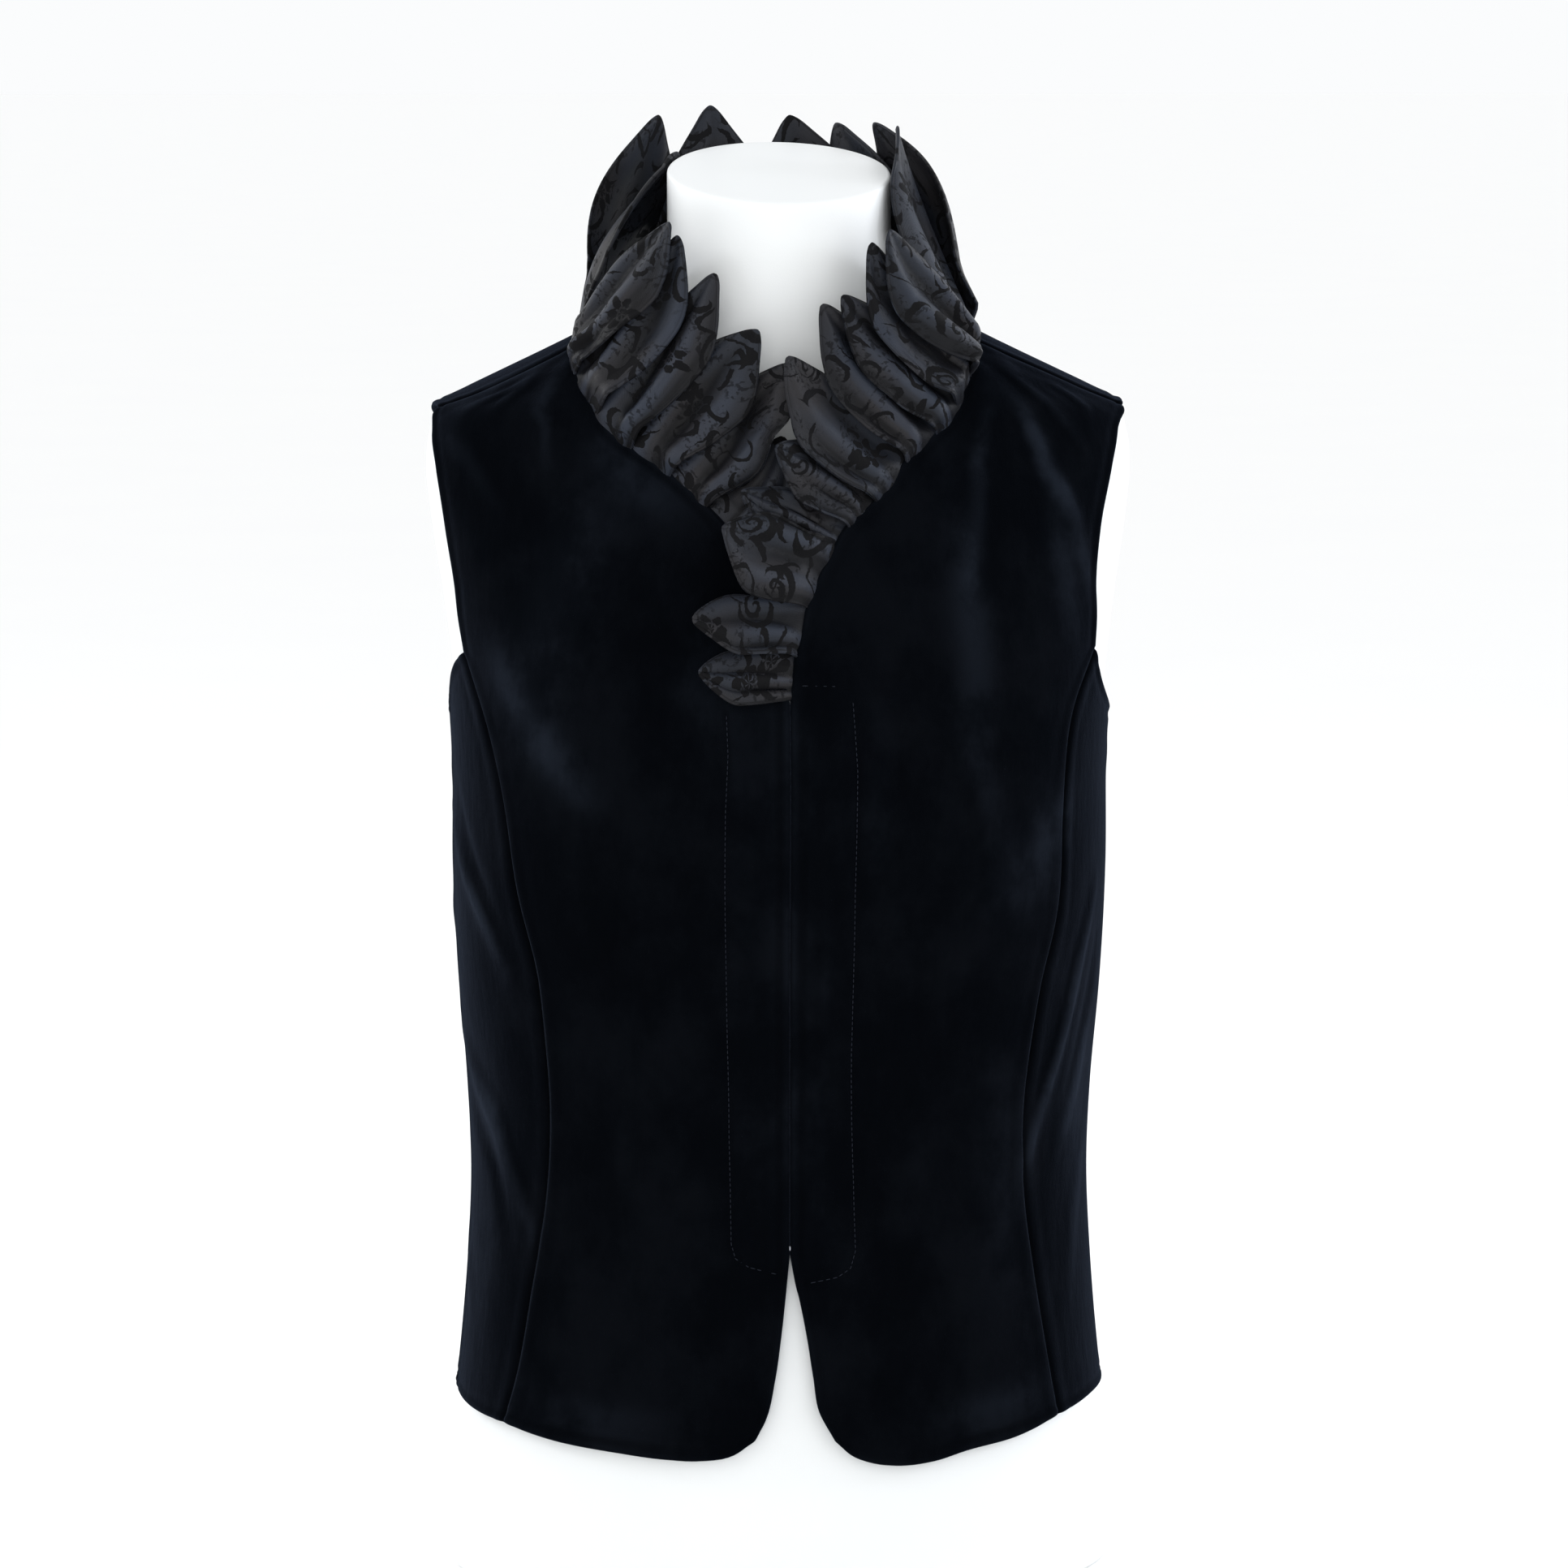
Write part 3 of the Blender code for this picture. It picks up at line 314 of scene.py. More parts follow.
def run_lengths(points: Array) -> Array:
    """Lengths along a row of points, from zero at the first."""
    return np.concatenate([[0.0], np.cumsum(np.linalg.norm(np.diff(points, axis=0), axis=1))])


def along_row(wanted: Array, knots: Array, points: Array) -> Array:
    """Points at the wanted positions of a row, straight between its knots."""
    return np.stack([np.interp(wanted, knots, points[:, axis]) for axis in range(points.shape[1])], axis=-1)


def along_curve(wanted: Array, knots: Array, points: Array) -> Array:
    """Points at the wanted positions of a row, on a smooth curve through its knots."""
    return np.stack([hermite(knots, points[:, axis], wanted) for axis in range(points.shape[1])], axis=-1)


def tube_quads(rings: int, sides: int) -> Array:
    """Faces between rings of points, four vertex numbers each."""
    index = np.arange(rings * sides).reshape(rings, sides)
    after = np.roll(index, -1, axis=1)
    return np.stack([index[:-1], after[:-1], after[1:], index[1:]], axis=-1).reshape(-1, 4)


def line_distance(points: Array, path: Array) -> tuple[Array, Array]:
    """Distance of points from a broken line.

    Args:
        points: Flat points along the last axis.
        path: Corners of the line.

    Returns:
        The nearest distance, and the share of the line's length at which it is met.
    """
    lengths = np.linalg.norm(np.diff(path, axis=0), axis=1)
    starts = np.concatenate([[0.0], np.cumsum(lengths)])
    best = np.full(points.shape[:-1], np.inf)
    share = np.zeros(points.shape[:-1])
    for start, end, length, before in zip(path[:-1], path[1:], lengths, starts):
        along = np.clip(((points - start) @ (end - start)) / length ** 2, 0.0, 1.0)
        away = np.linalg.norm(points - start - along[..., None] * (end - start), axis=-1)
        share = np.where(away < best, (before + along * length) / starts[-1], share)
        best = np.minimum(best, away)
    return best, share


@dataclass(frozen=True)
class Torso:
    """The cloth surface of the vest's body, as level rounded slices, with its creases."""
    sections: tuple[Section, ...] = SECTIONS
    creases: tuple[Crease, ...] = CREASES

    def size(self, height: Array, column: int) -> Array:
        """Smooth value at each height of one column of the section table."""
        table = np.array(self.sections)
        return hermite(table[:, 0], table[:, column], height)

    def smooth(self, angle: Array, height: Array) -> Array:
        """Surface without creases.

        x is half width times sin to the power two over squareness, and y is minus depth times cos
        to the same power, each with its sign kept.

        Args:
            angle: Angles in degrees.
            height: Heights in millimetres.

        Returns:
            Points in millimetres.
        """
        turn = np.radians(angle)
        power = 2.0 / self.size(height, 4)
        side, ahead = np.sin(turn), np.cos(turn)
        depth = np.where(ahead > 0, self.size(height, 2), self.size(height, 3))
        x = self.size(height, 1) * np.sign(side) * np.abs(side) ** power
        y = -depth * np.sign(ahead) * np.abs(ahead) ** power
        return np.stack([x, y, height + 0.0 * x], axis=-1)

    def normal(self, angle: Array, height: Array) -> Array:
        """Outward direction of the smooth surface.

        Args:
            angle: Angles in degrees.
            height: Heights in millimetres.

        Returns:
            Directions of length one.
        """
        around = self.smooth(angle + 0.5, height) - self.smooth(angle - 0.5, height)
        upward = self.smooth(angle, height + 1.5) - self.smooth(angle, height - 1.5)
        return unit(np.cross(around, upward))

    def crease_rise(self, angle: Array, height: Array) -> Array:
        """Rise of all creases in millimetres at each place."""
        return self.swept(self.creases, angle, height, 0.35)

    @staticmethod
    def swept(creases: tuple[Crease, ...], angle: Array, height: Array, trough: float) -> Array:
        """Sum of bells across rows of places, each fading towards both ends as a sine.

        Args:
            creases: The rows, with their rises and widths.
            angle: Angles in degrees.
            height: Heights in millimetres.
            trough: Share of the wider, shallower bell that is taken away.

        Returns:
            The sum at each place.
        """
        total = np.zeros(angle.shape)
        for crease in creases:
            path = np.array(crease.path) * (MM_PER_DEGREE, 1.0)
            for wrap in (0.0, 360.0, -360.0):
                spots = np.stack([(angle - wrap) * MM_PER_DEGREE, height], axis=-1)
                away, share = line_distance(spots, path)
                shape = bell(away, crease.half_width) - trough * bell(away, 2.3 * crease.half_width)
                total = total + crease.rise * shape * np.sin(np.pi * (0.08 + 0.84 * share))
        return total

    def painted_light(self, angle: Array, height: Array, relief: Array) -> Array:
        """Painted highlight and painted shade of the pile: 0 for plain pile, up to 1 of painted highlight on ridges,
        turned edges and patches, below 0 of painted shade in folds.
        """
        ridges = 0.42 * self.crease_rise(angle, height) + 0.3 * relief
        return ridges + 0.75 * self.swept(PAINTED_LIGHT_PATCHES, angle, height, 0.0)

    def cloth(self, angle: Array, height: Array, lift: Union[Array, float] = 0.0) -> Array:
        """Points of the surface with creases, moved out along its normal by the lift."""
        rise = self.crease_rise(angle, height) + lift
        return self.smooth(angle, height) + self.normal(angle, height) * rise[..., None]

    def cleared(self, points: Array, room: Array) -> Array:
        """Moves points level away from the axis until they stand off the surface.

        Args:
            points: Points in millimetres.
            room: Least distance from the surface.

        Returns:
            The moved points.
        """
        height = points[..., 2]
        power = self.size(height, 4)
        depth = np.where(points[..., 1] < 0, self.size(height, 2), self.size(height, 3))
        scaled = ((np.abs(points[..., 0]) / self.size(height, 1)) ** power
                  + (np.abs(points[..., 1]) / depth) ** power) ** (1 / power)
        away = np.hypot(points[..., 0], points[..., 1])
        factor = np.maximum(away, away / scaled + room * 1.25) / away
        return points * np.stack([factor, factor, np.ones_like(factor)], axis=-1)


class CuttingPlane:
    """The torso's cloth rolled out flat, as girth from a meridian and length up the cloth."""

    def __init__(self, torso: Torso, meridian: float) -> None:
        """Makes tables of girth and length.

        Args:
            torso: The cloth surface.
            meridian: Angle at which girth is zero.
        """
        self.meridian = meridian
        self.angles = np.arange(-30.0, 331.0, 1.0) if meridian > 90 else np.arange(-180.0, 181.0, 1.0)
        self.heights = np.arange(0.0, torso.sections[-1].height + 1.0, 5.0)
        rings = torso.smooth(*np.meshgrid(self.angles, self.heights))
        steps = np.linalg.norm(np.diff(rings, axis=1), axis=2)
        girths = np.concatenate([np.zeros((len(self.heights), 1)), np.cumsum(steps, axis=1)], axis=1)
        start = int(meridian - self.angles[0])
        self.girths = girths - girths[:, start:start + 1]
        rises = np.hypot(np.diff(self.heights), np.diff(torso.size(self.heights, 1)))
        self.lengths = np.concatenate([[0.0], np.cumsum(rises)])

    def rows(self, height: Array) -> Array:
        """Girths at every angle, one row for each height."""
        index = np.clip((height // 5).astype(int), 0, len(self.heights) - 2)
        share = ((height - self.heights[index]) / 5.0)[:, None]
        return self.girths[index] * (1 - share) + self.girths[index + 1] * share

    def roll_out(self, places: Array) -> Array:
        """Flat points of places.

        Args:
            places: Angles and heights, one row each.

        Returns:
            Girth and length of each place.
        """
        rows = self.rows(places[:, 1])
        spot = places[:, 0] - self.angles[0]
        index = np.clip(spot.astype(int), 0, len(self.angles) - 2)
        share = spot - index
        each = np.arange(len(places))
        girth = rows[each, index] * (1 - share) + rows[each, index + 1] * share
        return np.stack([girth, np.interp(places[:, 1], self.heights, self.lengths)], axis=1)

    def roll_back(self, flat: Array) -> Array:
        """Places of flat points.

        Args:
            flat: Girth and length, one row each.

        Returns:
            Angle and height of each point.
        """
        height = np.interp(flat[:, 1], self.lengths, self.heights)
        rows = self.rows(height)
        index = np.clip(np.sum(rows < flat[:, :1], axis=1) - 1, 0, len(self.angles) - 2)
        each = np.arange(len(flat))
        low, high = rows[each, index], rows[each, index + 1]
        angle = self.angles[index] + np.clip((flat[:, 0] - low) / (high - low), 0.0, 1.0)
        return np.stack([angle, height], axis=1)


class EdgeFinish(Enum):
    """How an edge of a velvet piece is finished."""
    SEAM = "seam"
    TURNED = "turned"

    def relief(self, away: Array) -> Array:
        """Height of the surface near the edge.

        A seam sinks into a groove and swells over its turned allowance. A turned edge rounds
        off, then shows the step where its allowance ends.

        Args:
            away: Distance from the edge in millimetres.

        Returns:
            Millimetres out from the surface.
        """
        if self is EdgeFinish.SEAM:
            return -1.35 * bell(away, 1.2) + 0.35 * bell(away - 4.5, 2.6) - 0.2 * bell(away - 10.0, 2.0)
        rounding = -1.0 * np.clip(1 - away / 1.1, 0.0, 1.0) ** 2
        return rounding + 0.5 * bell(away - 2.2, 1.7) - 0.28 * bell(away - 6.0, 1.7) + 0.2 * bell(away - 9.5, 2.4)


@dataclass(frozen=True)
class Stretch:
    """One stretch of an edge, with the share of the rows or columns that it takes."""
    places: tuple[Place, ...]
    share: float = 1.0
    finish: EdgeFinish = EdgeFinish.TURNED
    turn: float = 0.0
    backwards: bool = False

    def flat_curve(self, plane: CuttingPlane) -> Array:
        """Smooth curve through the places on the cutting plane.

        Args:
            plane: The cutting plane.

        Returns:
            Flat points at even lengths along the curve.
        """
        places = np.array(self.places, dtype=float) + (self.turn, 0.0)
        if self.backwards:
            places = places[::-1]
        points = places * (MM_PER_DEGREE, 1.0)
        run = run_lengths(points)
        follow = along_curve if len(points) > 2 else along_row
        curve = follow(np.linspace(0.0, run[-1], CURVE_POINTS), run, points)
        flat = plane.roll_out(curve / (MM_PER_DEGREE, 1.0))
        length = run_lengths(flat)
        return along_row(np.linspace(0.0, length[-1], CURVE_POINTS), length, flat)


@dataclass(frozen=True)
class EdgeLine:
    """One whole side of a piece, made of stretches."""
    stretches: tuple[Stretch, ...]

    def sample(self, plane: CuttingPlane, wanted: Array) -> Array:
        """Flat points of the side.

        Args:
            plane: The cutting plane.
            wanted: Positions from 0 to 1 along the side.

        Returns:
            A flat point for each position.
        """
        knots, points, before = [], [], 0.0
        for stretch in self.stretches:
            knots.append(before + stretch.share * np.linspace(0.0, 1.0, CURVE_POINTS))
            points.append(stretch.flat_curve(plane))
            before += stretch.share
        return along_row(wanted, np.concatenate(knots) / before, np.concatenate(points))

    def relief(self, wanted: Array, away: Array) -> Array:
        """Relief of the side's finishes.

        Args:
            wanted: Positions from 0 to 1 along the side, for each point.
            away: Distance of each point from the side.

        Returns:
            Millimetres out from the surface.
        """
        total = np.zeros(away.shape)
        whole = sum(stretch.share for stretch in self.stretches)
        before = 0.0
        for stretch in self.stretches:
            inside = (wanted >= before / whole) & (wanted <= (before + stretch.share) / whole)
            total = np.where(inside, stretch.finish.relief(away), total)
            before += stretch.share
        return total


def spread(length: Array, step: float, fine: Sequence[float], fine_end: Sequence[float]) -> Array:
    """Positions with fixed distances near both ends and even steps between.

    Args:
        length: Length of each row.
        step: Rough distance of the even steps.
        fine: Distances from the start.
        fine_end: Distances from the end.

    Returns:
        For each row, positions from 0 to 1.
    """
    length = np.atleast_1d(length)[:, None]
    first, last = np.array(fine)[None], np.array(fine_end)[::-1][None]
    count = max(int((length.max() - fine[-1] - fine_end[-1]) / step), 2)
    middle = np.linspace(0.0, 1.0, count + 1)[None, 1:-1]
    middle = fine[-1] + (length - fine[-1] - fine_end[-1]) * middle
    return np.concatenate([first + 0 * length, middle, length - last], axis=1) / length


EDGE_STEPS = (0.0, 0.3, 0.7, 1.2, 1.8, 2.6, 3.6, 4.8, 6.2, 8.0, 10.2)
PLACKET_STEPS = EDGE_STEPS + (13.0, 16.0, 19.5, 23.5, 26.5, 28.5, 29.8, 30.8, 31.6, 32.3, 33.0, 33.7,
                              34.4, 35.2, 36.2, 37.6, 39.6, 42.5)


@dataclass(frozen=True)
class PanelGrid:
    """A velvet piece as a grid: where it lies, its cut, and the relief of its edges."""
    places: Array
    flat: Array
    relief: Array

    @property
    def area(self) -> float:
        """Flat area in square metres, as the sum of its cells' cross products."""
        across = self.flat[:-1, 1:] - self.flat[:-1, :-1]
        upward = self.flat[1:, :-1] - self.flat[:-1, :-1]
        cells = np.abs(across[..., 0] * upward[..., 1] - across[..., 1] * upward[..., 0])
        return float(cells.sum()) * MM ** 2

    @property
    def extent(self) -> tuple[float, float]:
        """Width and length of the cut in metres."""
        span = self.flat.reshape(-1, 2).max(axis=0) - self.flat.reshape(-1, 2).min(axis=0)
        return float(span[0]) * MM, float(span[1]) * MM


@dataclass(frozen=True)
class PanelCut:
    """A velvet piece between four sides."""
    name: str
    bottom: EdgeLine
    top: EdgeLine
    inner: EdgeLine
    outer: EdgeLine
    column_step: float = 3.2
    row_step: float = 3.4
    inner_steps: tuple[float, ...] = EDGE_STEPS

    def grid(self, plane: CuttingPlane) -> PanelGrid:
        """Places and relief of the piece.

        The surface is the Coons patch of the four sides on the cutting plane: the two ruled
        surfaces between opposite sides, added, less the ruled surface of the corners.

        Args:
            plane: The cutting plane.

        Returns:
            The piece as a grid.
        """
        fine = np.linspace(0.0, 1.0, 400)
        heights = self.inner.sample(plane, fine)
        length = float(np.linalg.norm(np.diff(heights, axis=0), axis=1).sum())
        rows = spread(np.array([length]), self.row_step, EDGE_STEPS, EDGE_STEPS)[0]
        inner, outer = self.inner.sample(plane, rows), self.outer.sample(plane, rows)
        width = np.linalg.norm(outer - inner, axis=1)
        columns = spread(width, self.column_step, self.inner_steps, EDGE_STEPS)
        bottom, top = self.bottom.sample(plane, columns), self.top.sample(plane, columns)
        across, upward = columns[..., None], rows[:, None, None]
        ruled = (1 - upward) * bottom + upward * top + (1 - across) * inner[:, None] + across * outer[:, None]
        corners = ((1 - upward) * ((1 - across) * inner[0] + across * outer[0])
                   + upward * ((1 - across) * inner[-1] + across * outer[-1]))
        flat = ruled - corners
        along = np.broadcast_to(rows[:, None], columns.shape)
        relief = (self.inner.relief(along, np.linalg.norm(flat - flat[:, :1], axis=-1))
                  + self.outer.relief(along, np.linalg.norm(flat - flat[:, -1:], axis=-1))
                  + self.bottom.relief(columns, np.linalg.norm(flat - flat[:1], axis=-1))
                  + self.top.relief(columns, np.linalg.norm(flat - flat[-1:], axis=-1)))
        places = plane.roll_back(flat.reshape(-1, 2)).reshape(flat.shape)
        return PanelGrid(places, flat, np.maximum(relief, -1.4))


def link_mesh(name: str, points: Array, quads: Array, uv: Optional[Array] = None,
              mark: Optional[Array] = None, fold: Optional[Array] = None) -> bpy.types.Object:
    """Makes a smooth mesh object.

    Args:
        name: Name of the piece.
        points: Vertices in millimetres.
        quads: Four vertex numbers for each face.
        uv: Flat position of each vertex in metres.
        mark: A number for the material at each vertex.
        fold: Height of the folds at each vertex in millimetres.

    Returns:
        The object, at the origin.
    """
    mesh = bpy.data.meshes.new(name)
    mesh.vertices.add(len(points))
    mesh.vertices.foreach_set("co", (points * MM).astype(np.float32).ravel())
    mesh.loops.add(quads.size)
    mesh.loops.foreach_set("vertex_index", quads.astype(np.int32).ravel())
    mesh.polygons.add(len(quads))
    mesh.polygons.foreach_set("loop_start", np.arange(0, quads.size, 4, dtype=np.int32))
    mesh.update(calc_edges=True)
    mesh.polygons.foreach_set("use_smooth", np.ones(len(quads), dtype=bool))
    if uv is not None:
        layer = mesh.uv_layers.new(name="cloth")
        layer.data.foreach_set("uv", uv[quads.ravel()].astype(np.float32).ravel())
    for title, values in (("mark", mark), ("fold", fold)):
        if values is not None:
            mesh.attributes.new(title, "FLOAT", "POINT").data.foreach_set("value", values.astype(np.float32))
    mesh.validate()
    made = bpy.data.objects.new(name, mesh)
    bpy.context.scene.collection.objects.link(made)
    return made


def shell_quads(rows: int, columns: int) -> Array:
    """Faces of a closed wall between an outer and an inner grid.

    Args:
        rows: Rows of each grid.
        columns: Columns of each grid.

    Returns:
        Four vertex numbers for each face: outer grid, inner grid and rim.
    """
    size = rows * columns
    index = np.arange(size).reshape(rows, columns)
    quads = np.stack([index[:-1, :-1], index[:-1, 1:], index[1:, 1:], index[1:, :-1]], axis=-1).reshape(-1, 4)
    rim = np.concatenate([index[0, :-1], index[:-1, -1], index[-1, :0:-1], index[:0:-1, 0]])
    after = np.roll(rim, -1)
    sides = np.stack([rim, rim + size, after + size, after], axis=1)
    return np.concatenate([quads, quads[:, ::-1] + size, sides])


def add_shell(name: str, outer: Array, inner: Array, uv: Array, mark: Array, flip: bool,
              fold: Optional[Array] = None) -> bpy.types.Object:
    """Adds a closed wall between two grids.

    Args:
        name: Name of the piece.
        outer: Outer grid in millimetres.
        inner: Inner grid in millimetres.
        uv: Flat position of each grid point in metres.
        mark: A number for the material at each grid point.
        flip: Whether the faces run the other way round.
        fold: Height of the outer side's folds at each grid point.

    Returns:
        The object.
    """
    quads = shell_quads(*outer.shape[:2])
    if flip:
        quads = quads[:, ::-1]
    points = np.concatenate([outer.reshape(-1, 3), inner.reshape(-1, 3)])
    doubled_uv = np.concatenate([uv.reshape(-1, 2), uv.reshape(-1, 2)])
    rises = None if fold is None else np.concatenate([fold.ravel(), -fold.ravel()])
    return link_mesh(name, points, quads, doubled_uv, np.concatenate([mark.ravel(), mark.ravel()]), rises)


def colour(code: str) -> tuple[float, float, float, float]:
    """Linear colour of an sRGB hex code.

    Args:
        code: Six hex digits.

    Returns:
        Red, green, blue and alpha.
    """
    parts = [int(code[start:start + 2], 16) / 255 for start in (0, 2, 4)]
    linear = [part / 12.92 if part <= 0.04045 else ((part + 0.055) / 1.055) ** 2.4 for part in parts]
    return (*linear, 1.0)


# What the second word of a node call sets, by kind of node
MODES = {"Attribute": "attribute_name", "MapRange": "interpolation_type", "Math": "operation", "Mix": "data_type",
         "TexNoise": "noise_dimensions", "TexVoronoi": "voronoi_dimensions", "UVMap": "uv_map",
         "VectorMath": "operation", "VectorRotate": "rotation_type"}
HALF = (0.5, 0.5, 0.5)
FULL_TURN = 2 * math.pi


class Shading:
    """A material under construction."""

    def __init__(self, name: str) -> None:
        """Starts a material that is called after its finish."""
        self.material = bpy.data.materials.new(name)
        self.material.use_nodes = True
        self.tree = self.material.node_tree

    def connect(self, node: bpy.types.Node, inputs: dict[Union[int, str], Value]) -> None:
        """Links or sets a node's inputs.

        Args:
            node: The node.
            inputs: Values by input number, identifier, or name with _ for a space.
        """
        for key, value in inputs.items():
            socket = node.inputs[key] if isinstance(key, int) else next(
                one for one in node.inputs if key in (one.identifier, one.name.replace(" ", "_")))
            if isinstance(value, Socket):
                self.tree.links.new(value, socket)
            else:
                socket.default_value = value

    def add(self, kind: str, mode: str = "", *inputs: Value, output: Union[int, str] = 0, **named: Value) -> Socket:
        """Adds a node with its settings and links.

        Args:
            kind: Kind of node.
            mode: Its main setting, as MODES names it.
            *inputs: Values of its first inputs.
            output: Output wanted.
            **named: Values of other inputs, and of settings where the name is in small letters.

        Returns:
            The output.
        """
        node = self.tree.nodes.new("ShaderNode" + kind)
        if mode:
            setattr(node, MODES[kind], mode)
        for key in [key for key in named if key.islower()]:
            setattr(node, key, named.pop(key))
        self.connect(node, {**dict(enumerate(inputs)), **named})
        return node.outputs[output]

    def finish(self, **values: Value) -> bpy.types.Material:
        """Gives the shader its values and returns the material."""
        self.connect(self.tree.nodes["Principled BSDF"], values)
        return self.material


@dataclass(frozen=True)
class Velvet:
    """Cotton velvet: a dense dark pile whose lie shades in soft clouds and glows at its edges, with painted sheen on
    its ridges and patches and painted shade in its folds.
    """
    deep: str = "030406"
    raised: str = "0c0e12"
    # Painted sheen colour for crease ridges, turned edges and light patches, then painted shade colour for crease
    # troughs and dark patches
    painted_sheen: str = "171b22"
    painted_trough_shade: str = "010101"
    glow: str = "474f5f"
    # Metres between tufts, about twice the real spacing, so that they show
    pile: float = 0.00045

    def build(self) -> bpy.types.Material:
        """Makes the material.

        Returns:
            The velvet.
        """
        made = Shading("navy_black_velvet")
        add = made.add
        where = add("TexCoord", output="Object")
        lie = add("TexNoise", "3D", add("VectorMath", "MULTIPLY", where, (1.0, 1.0, 0.75)), Scale=17.0, Detail=5.0,
                  Roughness=0.62)
        brushed = add("TexNoise", "3D", add("VectorMath", "MULTIPLY", where, (1.0, 1.0, 0.3)), Scale=160.0,
                      Detail=3.0, Roughness=0.6)
        clouds = add("Math", "ADD", add("MapRange", "SMOOTHSTEP", lie, 0.38, 0.68),
                     add("Math", "MULTIPLY", brushed, 0.35))
        tufts = add("TexNoise", "3D", where, Scale=1.0 / self.pile, Roughness=0.7)
        # The mark holds the painted light: above 0 painted sheen, below 0 painted shade
        painted_light = add("Attribute", "mark", output="Fac")
        painted_sheen_share = add("Math", "MULTIPLY", painted_light, add("MapRange", "SMOOTHSTEP", clouds, 0.0, 1.1, 0.55, 1.25))
        tone = add("Mix", "RGBA", add("Math", "MULTIPLY", clouds, 0.45, use_clamp=True),
                   A_Color=colour(self.deep), B_Color=colour(self.raised), output=2)
        # Painted sheen where the mark is high, then painted shade in the folds where it is below 0
        for share, shade in ((add("MapRange", "SMOOTHSTEP", painted_sheen_share, 0.02, 1.0), self.painted_sheen),
                             (add("MapRange", "SMOOTHSTEP", painted_light, -0.1, -0.9, 0.0, 0.8), self.painted_trough_shade)):
            tone = add("Mix", "RGBA", share, A_Color=tone, B_Color=colour(shade), output=2)
        brush_marks = add("Bump", Height=brushed, Distance=0.0009, Strength=0.5)
        return made.finish(
            Base_Color=tone, Roughness=add("MapRange", "SMOOTHSTEP", clouds, 0.0, 1.2, 0.62, 0.86),
            Specular_IOR_Level=0.0, Sheen_Weight=0.60, Sheen_Roughness=0.38, Sheen_Tint=colour(self.glow),
            Normal=add("Bump", Height=tufts, Distance=self.pile, Strength=0.55, Normal=brush_marks))


